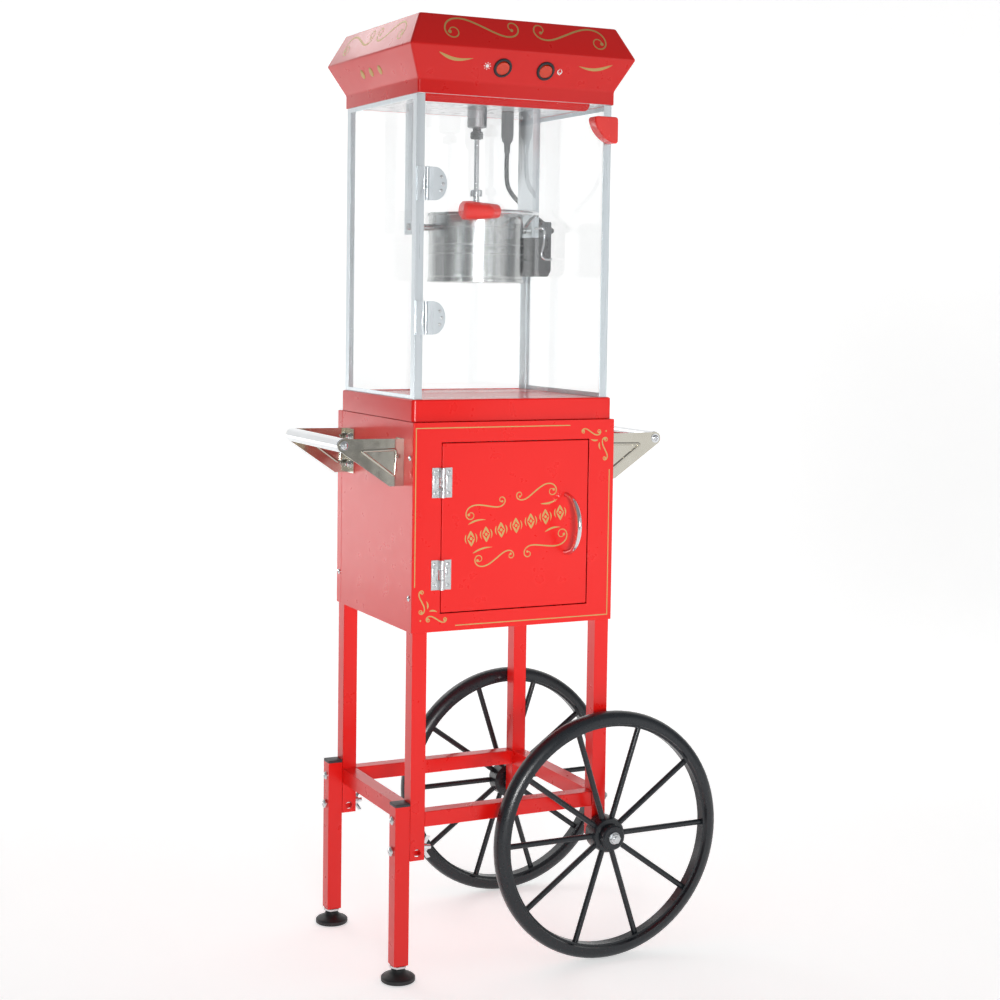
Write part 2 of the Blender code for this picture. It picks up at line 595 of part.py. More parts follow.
# ---------------------------------------------------------------- cabinet
def build_cabinet_panels():
    opening = ((DOOR_LEFT - DOOR_SEAM, DOOR_RIGHT + DOOR_SEAM),
               (DOOR_BOTTOM - DOOR_SEAM, DOOR_TOP + DOOR_SEAM))
    bm = bmesh.new()
    add_hollow_prism(bm, rectangle(-HALF_WIDTH, HALF_WIDTH, CABINET_BOTTOM, CABINET_TOP),
                     rectangle(*opening[0], *opening[1]), "Y", -HALF_DEPTH, -HALF_DEPTH + SHEET)
    finish("cabinet_front", bm, red_paint("cabinet_front"))
    front, rear = -HALF_DEPTH + SHEET + GAP, HALF_DEPTH - REAR_WRAP - GAP
    for end, side in (("left", -1), ("right", 1)):
        bm = bmesh.new()
        add_box(bm, (side * HALF_WIDTH, front, CABINET_BOTTOM),
                (side * (HALF_WIDTH - SHEET), rear, CABINET_TOP))
        finish(f"cabinet_side_{end}", bm, red_paint(f"cabinet_side_{end}"))
    inner, back = HALF_WIDTH - SHEET, HALF_DEPTH - SHEET
    strip = HALF_DEPTH - REAR_WRAP
    bm = bmesh.new()
    add_prism(bm, [(-HALF_WIDTH, strip), (-HALF_WIDTH, HALF_DEPTH), (HALF_WIDTH, HALF_DEPTH),
                   (HALF_WIDTH, strip), (inner, strip), (inner, back), (-inner, back),
                   (-inner, strip)], "Z", CABINET_BOTTOM, CABINET_TOP)
    finish("cabinet_rear", bm, red_paint("cabinet_rear"))
    x, y = inner - GAP, back - GAP
    notch_x, notch_y = LEG_X - TUBE / 2 - GAP, LEG_Y - TUBE / 2 - GAP
    bm = bmesh.new()
    add_prism(bm, [(-notch_x, -y), (notch_x, -y), (notch_x, -notch_y), (x, -notch_y),
                   (x, notch_y), (notch_x, notch_y), (notch_x, y), (-notch_x, y),
                   (-notch_x, notch_y), (-x, notch_y), (-x, -notch_y), (-notch_x, -notch_y)],
              "Z", CABINET_BOTTOM, CABINET_BOTTOM + SHEET)
    finish("cabinet_floor", bm, red_paint("cabinet_floor"))


def build_cabinet_door():
    pivot = (*DOOR_HINGE, (DOOR_BOTTOM + DOOR_TOP) / 2)
    bm = bmesh.new()
    add_box(bm, (DOOR_LEFT, -HALF_DEPTH, DOOR_BOTTOM),
            (DOOR_RIGHT, -HALF_DEPTH + DOOR_THICKNESS, DOOR_TOP))
    door = finish("cabinet_door", bm, red_paint("cabinet_door"), pivot)
    cut_with(door, "door_pan", lambda tool: add_box(
        tool, (DOOR_LEFT + SHEET, -HALF_DEPTH + SHEET, DOOR_BOTTOM + SHEET),
        (DOOR_RIGHT - SHEET, -HALF_DEPTH + 2 * DOOR_THICKNESS, DOOR_TOP - SHEET)))
    bm = bmesh.new()
    arc = [math.pi * step / 24 for step in range(25)]
    foot_y, radius = -HALF_DEPTH - GAP, PULL_SPAN / 2
    add_sweep(bm, [(PULL_X, foot_y - radius * math.sin(turn), PULL_HEIGHT - radius * math.cos(turn))
                   for turn in arc], PULL_RADIUS, 16)
    finish("door_pull", bm, chrome("door_pull"), pivot)
    build_door_hinges(pivot)


def add_knuckles(bm, axis, side, radius, back, base, third, owned):
    """Rolled knuckles on a leaf's edge; owned lists which thirds of the hinge they fill."""
    roll = [math.pi * (-0.06 + 1.56 * step / 14) for step in range(15)]
    root = axis[0] + side * (radius + 1.5 * EDGE)
    outline = [(root, back), (root, back - LEAF_THICKNESS),
               *[(axis[0] + side * radius * math.cos(turn), axis[1] - radius * math.sin(turn))
                 for turn in roll]]
    for part in owned:
        add_prism(bm, outline, "Z", base + part * third + GAP / 2, base + (part + 1) * third - GAP / 2)


def build_door_hinges(pivot):
    """Butt hinges: the frame leaf holds the two end knuckles, the door leaf the middle one."""
    back = -HALF_DEPTH - GAP
    for level, base in zip(("lower", "upper"), HINGE_BASES):
        for half, side, owned, place in (("frame", -1, (0, 2), (0, 0, 0)), ("door", 1, (1,), pivot)):
            name = f"door_hinge_{level}_{half}_leaf"
            root, tip = (DOOR_HINGE[0] + side * (KNUCKLE_RADIUS + GAP), DOOR_HINGE[0] + side * HINGE_LEAF)
            bm = bmesh.new()
            add_box(bm, (root, back - LEAF_THICKNESS, base), (tip, back, base + HINGE_HEIGHT))
            leaf = finish(name, bm, chrome(name), place)
            weld_on(leaf, name + "_knuckles", lambda tool: add_knuckles(
                tool, DOOR_HINGE, side, KNUCKLE_RADIUS, back, base, HINGE_HEIGHT / 3, owned))


# ---------------------------------------------------------------- side handles
def build_side_handles():
    face = HALF_WIDTH + GAP
    nose = BAR_RADIUS - 2 * GAP
    for end, side in (("left", -1), ("right", 1)):
        for row, y, lean in zip(("front", "rear"), BRACKET_Y, (1, -1)):
            arc = [math.pi * (0.5 - 0.83 * step / 10) for step in range(11)]
            outline = [(side * face, BRACKET_BOTTOM), (side * face, BRACKET_TOP),
                       *[(side * (HANDLE_X + nose * math.cos(turn)),
                          HANDLE_HEIGHT + nose * math.sin(turn)) for turn in arc],
                       (side * (face + BRACKET_FOOT), BRACKET_BOTTOM)]
            name = f"handle_bracket_{end}_{row}"
            bm = bmesh.new()
            add_prism(bm, outline, "Y", y - lean * BRACKET_SHEET, y)
            bracket = finish(name, bm, chrome(name))
            weld_on(bracket, name + "_flange", lambda tool: add_box(
                tool, (side * face, y - lean * BRACKET_SHEET / 2, BRACKET_BOTTOM),
                (side * (face + BRACKET_SHEET), y + lean * BRACKET_FLANGE, BRACKET_TOP)))
        bm = bmesh.new()
        near, far = BRACKET_Y[0] + GAP, BRACKET_Y[1] - GAP
        add_lathe(bm, [(0, near), (BAR_RADIUS - EDGE, near), (BAR_RADIUS, near + EDGE),
                       (BAR_RADIUS, far - EDGE), (BAR_RADIUS - EDGE, far), (0, far)],
                  (side * HANDLE_X, 0, HANDLE_HEIGHT), "Y", 32)
        finish(f"handle_bar_{end}", bm, chrome(f"handle_bar_{end}"))


# ---------------------------------------------------------------- popper case
def build_base_tray():
    x, front, rear = TRAY_X, TRAY_MID_Y - TRAY_Y, TRAY_MID_Y + TRAY_Y
    bm = bmesh.new()
    add_box(bm, (-x, front, TRAY_BOTTOM), (x, rear, TRAY_TOP))
    tray = finish("base_tray", bm, red_paint("base_tray"))
    cut_with(tray, "tray_underside", lambda tool: add_box(
        tool, (-x + SHEET, front + SHEET, TRAY_BOTTOM - TRAY_HEIGHT),
        (x - SHEET, rear - SHEET, DECK - SHEET)))
    cut_with(tray, "tray_recess", lambda tool: add_box(
        tool, (-x + 2 * SHEET, front + 2 * SHEET, DECK), (x - 2 * SHEET, rear - 2 * SHEET, CEILING)))


def build_case():
    """Angle posts at the corners hold the side and rear panes on their inner faces."""
    for end, side_x in (("left", -1), ("right", 1)):
        bm = bmesh.new()
        for side_y in (-1, 1):
            x, y = side_x * CASE_X, side_y * CASE_Y
            flange_x, flange_y = side_x * POST_FLANGE, side_y * POST_FLANGE
            wall_x, wall_y = side_x * POST_WALL, side_y * POST_WALL
            add_prism(bm, [(x, y), (x - flange_x, y), (x - flange_x, y - wall_y),
                           (x - wall_x, y - wall_y), (x - wall_x, y - flange_y), (x, y - flange_y)],
                      "Z", CASE_BOTTOM, CASE_TOP)
        name = f"case_frame_{end}"
        frame = finish(name, bm, aluminium(name))
        reach = CASE_Y - POST_FLANGE + GAP
        for level, low, high in (("foot", CASE_BOTTOM, CASE_BOTTOM + CASE_STRIP),
                                 ("head", CASE_TOP - CASE_STRIP, CASE_TOP)):
            weld_on(frame, f"{name}_{level}", lambda tool: add_box(
                tool, (side_x * CASE_X, -reach, low), (side_x * (CASE_X - POST_WALL), reach, high)))
    side_out = CASE_X - POST_WALL - GAP
    rear_out = CASE_Y - POST_WALL - GAP
    for end, side in (("left", -1), ("right", 1)):
        bm = bmesh.new()
        add_box(bm, (side * side_out, -rear_out, CASE_BOTTOM),
                (side * (side_out - PANE), rear_out, CASE_TOP))
        finish(f"pane_{end}", bm, clear_acrylic(f"pane_{end}"))
    bm = bmesh.new()
    inner = side_out - PANE - GAP
    add_box(bm, (-inner, rear_out - PANE, CASE_BOTTOM), (inner, rear_out, CASE_TOP))
    finish("pane_rear", bm, clear_acrylic("pane_rear"))


def build_case_door():
    pivot = (*CASE_HINGE, (CASE_DOOR_BOTTOM + CASE_DOOR_TOP) / 2)
    bm = bmesh.new()
    add_box(bm, (CASE_DOOR_LEFT, CASE_DOOR_FRONT, CASE_DOOR_BOTTOM),
            (CASE_DOOR_RIGHT, CASE_DOOR_BACK, CASE_DOOR_TOP))
    finish("case_door", bm, clear_acrylic("case_door"), pivot)
    build_knob(pivot)
    build_case_hinges(pivot)


def build_knob(pivot):
    """A moulded fan: square at its upper right, swept from its left tip to its lower right."""
    front, corner = CASE_DOOR_FRONT - GAP, KNOB_CORNER
    right, top = CASE_DOOR_RIGHT - corner, CASE_DOOR_TOP - KNOB_BELOW_TOP - corner
    wide, tall = KNOB_WIDTH - corner, KNOB_HEIGHT - corner
    sweep = 2 / KNOB_SWELL
    eighth = [math.pi / 2 * step / 4 for step in range(5)]
    outline = [(right + corner * math.cos(turn), top + corner * math.sin(turn)) for turn in eighth]
    outline += [(right - wide + corner * (1 - math.sin(turn)), top + corner * math.cos(turn))
                for turn in eighth]
    outline += [(right - wide * math.cos(turn) ** sweep, top - tall * math.sin(turn) ** sweep)
                for turn in (math.pi / 2 * step / 14 for step in range(1, 14))]
    outline += [(right + corner * math.sin(turn), top - tall + corner * (1 - math.cos(turn)))
                for turn in eighth]
    middle = (right - wide * 0.35, top - tall * 0.35)
    bm = bmesh.new()
    rings = []
    for shrink, depth in ((KNOB_EDGE, 0.0), (0.0, KNOB_EDGE), (0.0, KNOB_DEPTH - KNOB_EDGE),
                          (KNOB_EDGE, KNOB_DEPTH)):
        share = 1 - shrink / (KNOB_WIDTH / 2)
        rings.append([bm.verts.new((middle[0] + (x - middle[0]) * share, front - depth,
                                    middle[1] + (z - middle[1]) * share)) for x, z in outline])
    for ring, other in zip(rings, rings[1:]):
        for near in range(len(outline)):
            far = (near + 1) % len(outline)
            bm.faces.new((ring[near], ring[far], other[far], other[near]))
    bm.faces.new(rings[0])
    bm.faces.new(rings[-1])
    finish("case_door_knob", bm, make_material("case_door_knob", (0.75, 0.02, 0.02), 0.0, 0.25), pivot)


def build_case_hinges(pivot):
    axis_x, radius = CASE_HINGE[0], CASE_KNUCKLE_RADIUS
    back, half, reach = CASE_DOOR_FRONT - GAP, CASE_HINGE_HEIGHT / 2, CASE_HINGE_REACH - radius
    swell = [math.pi * (-0.5 + step / 12) for step in range(13)]
    for level, centre in zip(("lower", "upper"), CASE_HINGE_CENTRES):
        low, high = centre - half, centre + half
        bm = bmesh.new()
        add_box(bm, (axis_x - radius - GAP, back - LEAF_THICKNESS, low),
                (-CASE_X + EDGE, -CASE_Y - GAP, high))
        name = f"case_hinge_{level}_post_leaf"
        leaf = finish(name, bm, aluminium(name))
        weld_on(leaf, name + "_knuckles", lambda tool: add_knuckles(
            tool, CASE_HINGE, -1, radius, back, low, CASE_HINGE_HEIGHT / 3, (1,)))
        root = axis_x + radius + GAP
        bm = bmesh.new()
        add_prism(bm, [(root, high), (root, low),
                       *[(root + reach * (0.35 + 0.65 * math.cos(turn)), centre + half * math.sin(turn))
                         for turn in swell]], "Y", back, back - LEAF_THICKNESS)
        name = f"case_hinge_{level}_door_leaf"
        leaf = finish(name, bm, aluminium(name), pivot)
        weld_on(leaf, name + "_knuckles", lambda tool: add_knuckles(
            tool, CASE_HINGE, 1, radius, back, low, CASE_HINGE_HEIGHT / 3, (0, 2)))


# ---------------------------------------------------------------- hood
def hood_section(shrink):
    """Half sizes and heights of the hood's corners, moved in by the sheet's thickness."""
    halves = (HOOD_BAND, HOOD_BAND, HOOD_RIDGE, HOOD_CROWN)
    drops = (0.0, 0.0, 0.0, shrink)
    return [(half[0] - shrink, half[1] - shrink, height - drop)
            for half, height, drop in zip(halves, HOOD_HEIGHTS, drops)]


def build_hood():
    bm = bmesh.new()
    rings = []
    for x, y, z in hood_section(0.0) + hood_section(SHEET)[::-1]:
        rings.append([bm.verts.new((a * x, b * y, z)) for a, b in ((-1, -1), (1, -1), (1, 1), (-1, 1))])
    outer_top, inner_top = 3, 4
    for index, (ring, other) in enumerate(zip(rings, rings[1:] + rings[:1])):
        if index == outer_top:
            continue
        for near in range(4):
            far = (near + 1) % 4
            bm.faces.new((ring[near], ring[far], other[far], other[near]))
    bm.faces.new(rings[outer_top])
    bm.faces.new(rings[inner_top][::-1])
    hood = finish("hood", bm, red_paint("hood"))

    middle = (HOOD_HEIGHTS[1] + HOOD_HEIGHTS[2]) / 2
    side_lean = math.atan2(HOOD_RIDGE[0] - HOOD_BAND[0], HOOD_LOWER_RISE)
    face_x = (HOOD_BAND[0] + HOOD_RIDGE[0]) / 2

    def fill_vents(tool):
        for step in (-1, 0, 1):
            centre = Vector((-face_x, VENT_MID_Y + step * VENT_PITCH, middle))
            normal = Vector((-math.cos(side_lean), 0, -math.sin(side_lean)))
            slope = Vector((-math.sin(side_lean), 0, math.cos(side_lean)))
            outline = [centre + slope * VENT_SIZE[1] / 2 * math.sin(turn)
                       + Vector((0, 1, 0)) * VENT_SIZE[0] / 2 * math.cos(turn)
                       for turn in (2 * math.pi * k / 24 for k in range(24))]
            near = [tool.verts.new(point + normal * CUT) for point in outline]
            far = [tool.verts.new(point - normal * CUT) for point in outline]
            tool.faces.new(near)
            tool.faces.new(far[::-1])
            for k in range(24):
                tool.faces.new((near[k], near[(k + 1) % 24], far[(k + 1) % 24], far[k]))
    cut_with(hood, "hood_vents", fill_vents)

    build_ceiling_plate()


def build_ceiling_plate():
    """White plate inside the hood band; its front edge folds down as the case door's stop."""
    x, y = HOOD_BAND[0] - SHEET - GAP, HOOD_BAND[1] - SHEET - GAP
    bm = bmesh.new()
    add_box(bm, (-x, -y, CEILING), (x, y, CEILING + SHEET))
    plate = finish("ceiling_plate", bm, make_material("ceiling_plate", (0.85, 0.86, 0.87), 0.3, 0.4))
    left = -CASE_X + POST_FLANGE + GAP
    right = left + 2 * CASE_X - LIP_SHORTER
    low = CASE_TOP - LIP_HEIGHT
    corner = [(right - LIP_HEIGHT * (1 - math.sin(turn)), low + LIP_HEIGHT * (1 - math.cos(turn)))
              for turn in (math.pi / 2 * k / 8 for k in range(9))]
    weld_on(plate, "door_stop_lip", lambda tool: add_prism(
        tool, [(left, CEILING + GAP), (left, low), *corner[:-1], (right, CEILING + GAP)],
        "Y", -CASE_Y, -CASE_Y + LIP_SHEET))
    cut_with(plate, "gearbox_neck_hole", lambda tool: add_rod(
        tool, (0, 0, CEILING - SHEET), (0, 0, CEILING + 3 * SHEET), NECK_RADIUS + GAP))


def build_switches():
    """Round rockers set square to the hood's lower front slope, in holes in the sheet."""
    middle = (HOOD_HEIGHTS[1] + HOOD_HEIGHTS[2]) / 2 - SWITCH_BELOW_MIDDLE
    share = (middle - HOOD_HEIGHTS[1]) / HOOD_LOWER_RISE
    face_y = -(HOOD_BAND[1] + share * (HOOD_RIDGE[1] - HOOD_BAND[1]))
    out = Vector((0, -math.cos(HOOD_LEAN), -math.sin(HOOD_LEAN)))
    up = Vector((0, -math.sin(HOOD_LEAN), math.cos(HOOD_LEAN)))
    hood = bpy.data.objects["hood"]
    for name, side in (("rocker_light", -1), ("rocker_heat", 1)):
        face = Vector((SWITCH_MID_X + side * SWITCH_SPACING / 2, face_y, middle))
        cut_with(hood, name + "_hole", lambda tool: add_rod(
            tool, face - out * CUT, face + out * CUT, ROCKER_RADIUS + ROCKER_PLAY, segments=40))
        axis = face - out * SHEET / 2
        crest = [(-0.97, 0.24), (-0.6, 0.37), (-0.2, 0.42), (0.2, 0.47), (0.6, 0.68), (0.97, 1.0)]
        outline = [(-ROCKER_RADIUS * 0.97, -ROCKER_DEPTH),
                   *[(ROCKER_RADIUS * across, ROCKER_LIFT * lift) for across, lift in crest],
                   (ROCKER_RADIUS * 0.97, -ROCKER_DEPTH)]
        bm = bmesh.new()
        rings = [[bm.verts.new(face + up * a + out * b + Vector((x, 0, 0))) for a, b in outline]
                 for x in (-ROCKER_RADIUS, ROCKER_RADIUS)]
        bm.faces.new(rings[0])
        bm.faces.new(rings[1][::-1])
        for near in range(len(outline)):
            far = (near + 1) % len(outline)
            bm.faces.new((rings[0][near], rings[0][far], rings[1][far], rings[1][near]))
        rocker = finish(name, bm, make_material(name, (0.80, 0.08, 0.03), 0.0, 0.3), axis)
        bm = bmesh.new()
        add_rod(bm, face - out * 2 * CUT, face + out * 2 * CUT, ROCKER_RADIUS, segments=40)
        combine(rocker, finish("round_" + name, bm), "INTERSECT")


# ---------------------------------------------------------------- stirrer drive and kettle
def build_drive():
    bore = SHAFT_RADIUS + GAP
    top, low = CEILING - GAP, HOUSING_BOTTOM
    motor = CEILING + SHEET + GAP
    length, width, height = MOTOR_SIZE
    bm = bmesh.new()
    add_lathe(bm, [(0, low), (HOUSING_RADIUS - EDGE, low), (HOUSING_RADIUS, low + EDGE),
                   (HOUSING_RADIUS, top), (0, top)], (0, 0, 0), "Z", 32)
    gearbox = finish("gear_motor", bm, make_material("gear_motor", (0.55, 0.56, 0.58), 1.0, 0.3))
    weld_on(gearbox, "gear_motor_neck", lambda tool: add_rod(
        tool, (0, 0, top - 2 * EDGE), (0, 0, motor + 2 * EDGE), NECK_RADIUS))
    weld_on(gearbox, "gear_motor_body", lambda tool: add_box(
        tool, (-width / 2, -width / 2, motor), (length - width / 2, width / 2, motor + height)))
    cut_with(gearbox, "gear_motor_bore", lambda tool: add_rod(
        tool, (0, 0, low - CUT), (0, 0, motor + 2 * height), bore + 2 * EDGE))

    collar_top, collar_low = low - COLLAR_DROP, low - COLLAR_DROP - COLLAR_HEIGHT
    bm = bmesh.new()
    add_lathe(bm, [(bore, collar_low), (COLLAR_RADIUS - EDGE, collar_low),
                   (COLLAR_RADIUS, collar_low + EDGE), (COLLAR_RADIUS, collar_top - EDGE),
                   (COLLAR_RADIUS - EDGE, collar_top), (SPINDLE_RADIUS, collar_top),
                   (SPINDLE_RADIUS, low - GAP), (bore, low - GAP)],
              (0, 0, 0), "Z", 32, closed=True)
    finish("drive_collar", bm, black_plastic("drive_collar"), (0, 0, collar_top))

    mouth, cone = STUB_RADIUS + STUB_PLAY, COUPLING_CONE
    coupling_top = COUPLING_Z + COUPLING_HEIGHT
    bm = bmesh.new()
    add_lathe(bm, [(0, COUPLING_Z + cone), (mouth - cone, COUPLING_Z + cone), (mouth, COUPLING_Z),
                   (COUPLING_RADIUS, COUPLING_Z), (COUPLING_RADIUS, coupling_top - EDGE),
                   (COUPLING_RADIUS - EDGE, coupling_top), (SHAFT_RADIUS, coupling_top),
                   (SHAFT_RADIUS, SHAFT_TOP), (0, SHAFT_TOP)], (0, 0, 0), "Z", 32)
    finish("drive_shaft", bm, chrome("drive_shaft"), (0, 0, COUPLING_Z))


def build_hangers():
    """Two arms folded from sheet hang the kettle from the ceiling plate."""
    half, low, top = ARM_WIDTH / 2, PIVOT - ARM_BELOW_PIN, CEILING - GAP
    for end, x, side in (("left", LEFT_ARM_X, -1), ("right", RIGHT_ARM_X, 1)):
        inner, outer = x, x + side * ARM_SHEET
        bm = bmesh.new()
        lip = outer + side * ARM_LIP
        add_prism(bm, [(inner, -half), (lip, -half), (lip, -half + ARM_SHEET),
                       (outer, -half + ARM_SHEET), (outer, half), (inner, half)], "Z", low, top)
        arm = finish(f"hanger_{end}", bm, aluminium(f"hanger_{end}"))
        cut_with(arm, f"hanger_{end}_pivot", lambda tool: add_rod(
            tool, (x - CUT, 0, PIVOT), (x + CUT, 0, PIVOT), PIN_RADIUS + GAP))
        slot_low, slot_top = PIVOT + SLOT_HEIGHTS[0], PIVOT + SLOT_HEIGHTS[1]
        cut_with(arm, f"hanger_{end}_slot", lambda tool: add_box(
            tool, (x - CUT, -SLOT_WIDTH / 2, slot_low), (x + CUT, SLOT_WIDTH / 2, slot_top)))


def build_kettle():
    pivot = (0.0, 0.0, PIVOT)
    r, wall, low = KETTLE_RADIUS, KETTLE_WALL, KETTLE_BOTTOM
    bm = bmesh.new()
    floor, bead = low + KETTLE_FLOOR, r + KETTLE_BEAD
    add_lathe(bm, [(0, low), (r - 3 * EDGE, low), (bead, low + EDGE), (bead, floor + EDGE),
                   (r, floor + 1.5 * EDGE), (r, RIM - 3 * EDGE), (bead, RIM - 2.4 * EDGE),
                   (bead, RIM), (r - wall, RIM), (r - wall, floor + 4 * EDGE),
                   (r - wall - 4 * EDGE, floor), (0, floor)], (0, 0, 0), "Z", 72)
    kettle = finish("kettle", bm, make_material("kettle", (0.72, 0.73, 0.74), 1.0, 0.2), pivot)

    def fill_fittings(tool):
        add_box(tool, (KETTLE_BEAD / 2 - bead, -LID_BAR / 2, RIM - EDGE),
                (bead - KETTLE_BEAD / 2, LID_BAR / 2, LID_Z - GAP))
    weld_on(kettle, "kettle_lid_bar", fill_fittings)

    def fill_pins(tool):
        add_rod(tool, (wall / 2 - r, 0, PIVOT), (LEFT_ARM_X - PIN_HEAD, 0, PIVOT), PIN_RADIUS)
        add_rod(tool, (r - wall / 2, 0, PIVOT), (TERMINAL_LEFT - GAP, 0, PIVOT), PIN_RADIUS)
    weld_on(kettle, "kettle_pins", fill_pins)
    cut_with(kettle, "kettle_shaft_hole", lambda tool: add_rod(
        tool, (0, 0, RIM - CUT), (0, 0, RIM + CUT), STUB_RADIUS + EDGE))

    bm = bmesh.new()
    high_z = PIVOT + TERMINAL_ABOVE_PIN
    low_z, corner = high_z - TERMINAL[2], TERMINAL_CORNER
    front, back = -TERMINAL[1] * 0.44, TERMINAL[1] * 0.56
    add_prism(bm, [(front, high_z), (front, low_z + 2 * corner), (front + 2 * corner, low_z),
                   (back - corner, low_z), (back, low_z + corner), (back, high_z - corner),
                   (back - corner, high_z)], "X", TERMINAL_LEFT, TERMINAL_RIGHT)
    finish("kettle_terminal_box", bm, black_plastic("kettle_terminal_box"), pivot)

    build_kettle_handle(pivot)
    build_lids()
    build_stirrer()
    build_kettle_lead()


def build_kettle_handle(pivot):
    height = RIM + EDGE
    side = KETTLE_RADIUS + HANDLE_STANDOFF
    right, plug = GRIP_LEFT + GRIP_LENGTH, GRIP_LEFT + GRIP_END
    bm = bmesh.new()
    path = smooth_path([(plug + GAP, GRIP_Y, height), (right, GRIP_Y, height),
                        (side * 0.29, GRIP_Y + EDGE, height), (side * 0.71, GRIP_Y * 0.85, height),
                        (side - 2 * EDGE, GRIP_Y * 0.59, height - EDGE),
                        (side, GRIP_Y * 0.37, height - HANDLE_STANDOFF),
                        (side, GRIP_Y * 0.16, PIVOT + HANDLE_STANDOFF)])
    add_sweep(bm, path, ROD_RADIUS, 14)
    finish("kettle_handle_rod", bm, chrome("kettle_handle_rod"), pivot)
    bore = ROD_RADIUS + GAP
    bm = bmesh.new()
    butt, nose = GRIP_RADII
    add_lathe(bm, [(0, GRIP_LEFT), (butt * 0.68, GRIP_LEFT), (butt * 0.96, GRIP_LEFT + 3 * EDGE),
                   (butt, GRIP_LEFT + 9 * EDGE), (butt * 0.84, GRIP_LEFT + GRIP_LENGTH * 0.6),
                   (nose, right - 3 * EDGE), (nose * 0.85, right), (bore, right), (bore, plug),
                   (0, plug)],
              (0, GRIP_Y, height), "X", 32)
    finish("kettle_grip", bm, make_material("kettle_grip", (0.70, 0.03, 0.03), 0.0, 0.3), pivot)


def build_lids():
    """Half-round lids lie on the rim either side of the fixed bar and lift on its edges."""
    radius, notch = KETTLE_RADIUS + EDGE, COUPLING_RADIUS + 1.5 * EDGE
    for row, side in (("front", -1), ("rear", 1)):
        start = math.asin(LID_EDGE / radius)
        bite = math.acos(LID_EDGE / notch)
        outline = [(radius * math.cos(turn), side * radius * math.sin(turn)) for turn in
                   (start + (math.pi - 2 * start) * k / 32 for k in range(33))]
        outline += [(-notch * math.sin(turn), side * notch * math.cos(turn)) for turn in
                    (bite * (1 - 2 * k / 10) for k in range(11))]
        bm = bmesh.new()
        add_prism(bm, outline, "Z", RIM + GAP, RIM + GAP + LID_THICKNESS)
        middle = RIM + GAP + LID_THICKNESS / 2
        finish(f"lid_{row}", bm, aluminium(f"lid_{row}"), (0, side * LID_EDGE, middle))


def build_stirrer():
    floor = KETTLE_BOTTOM + KETTLE_FLOOR + EDGE
    shoulder, top, tip = floor + STIRRER_BOSS[1], COUPLING_Z - GAP, COUPLING_Z + COUPLING_CONE - 2 * GAP
    bm = bmesh.new()
    add_lathe(bm, [(0, floor), (STIRRER_BOSS[0], floor), (STIRRER_BOSS[0], shoulder),
                   (STUB_RADIUS, shoulder + EDGE), (STUB_RADIUS, top),
                   (STUB_RADIUS - COUPLING_CONE + GAP, tip), (0, tip)], (0, 0, 0), "Z", 24)
    stirrer = finish("stirrer", bm, chrome("stirrer"), (0, 0, floor))
    reach, half, low = KETTLE_RADIUS - KETTLE_WALL - STIRRER_CLEAR, BLADE[0] / 2, floor + EDGE
    weld_on(stirrer, "stirrer_blade", lambda tool: add_box(
        tool, (-reach, -half, low), (reach, half, low + BLADE[1])))


def build_kettle_lead():
    """The kettle's supply lead hangs from its ceiling plug to the terminal box."""
    x, y = KETTLE_RADIUS - PLUG_INSET, PLUG_Y
    top, low = CEILING - GAP, CEILING - GAP - PLUG_LENGTH
    bm = bmesh.new()
    add_lathe(bm, [(0, low), (LEAD_RADIUS + 0.0008, low), (LEAD_RADIUS + 0.0012, low + 0.012),
                   (PLUG_RADIUS * 0.85, low + 0.016), (PLUG_RADIUS, low + 0.022), (PLUG_RADIUS, top),
                   (0, top)], (x, y, 0), "Z", 24)
    lead = finish("kettle_lead", bm, black_plastic("kettle_lead"))
    box = TERMINAL_RIGHT + 2 * GAP
    route = smooth_path([(x, y, low + 0.0040), (x + 0.0010, y + 0.0030, low - 0.0210),
                         (x + 0.0080, y + 0.0110, low - 0.0460), (x + 0.0260, y + 0.0130, low - 0.0660),
                         (box + 0.0014, 0.0400, PIVOT + 0.0220), (box + 0.0114, 0.0200, PIVOT + 0.0070),
                         (box + 0.0109, 0.0050, PIVOT + 0.0010), (box + 0.0050, 0.0, PIVOT),
                         (box, 0.0, PIVOT)])
    weld_on(lead, "kettle_lead_cable", lambda tool: add_sweep(tool, route, LEAD_RADIUS, 12))


build_end_frames()
build_long_rails()
build_extension_legs()
build_wheels()
build_cabinet_panels()
build_cabinet_door()
build_side_handles()
build_base_tray()
build_case()
build_case_door()
build_hood()
build_switches()
build_drive()
build_hangers()
build_kettle()
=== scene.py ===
# %% [markdown]
# # Dressing a popcorn cart
# The solids of this cart already exist: square steel legs, a cabinet, a glazed case with a
# kettle, and a folded hood.  This lesson keeps them where they are and gives them what a
# visitor would see: baked powder coat, gold printed scrolls, spun steel, clear acrylic.
# We read every position from the solids, so the dressing follows them if they change.

# %% Load the fixed frame
import math

import bmesh
import bpy
from mathutils import Matrix, Vector


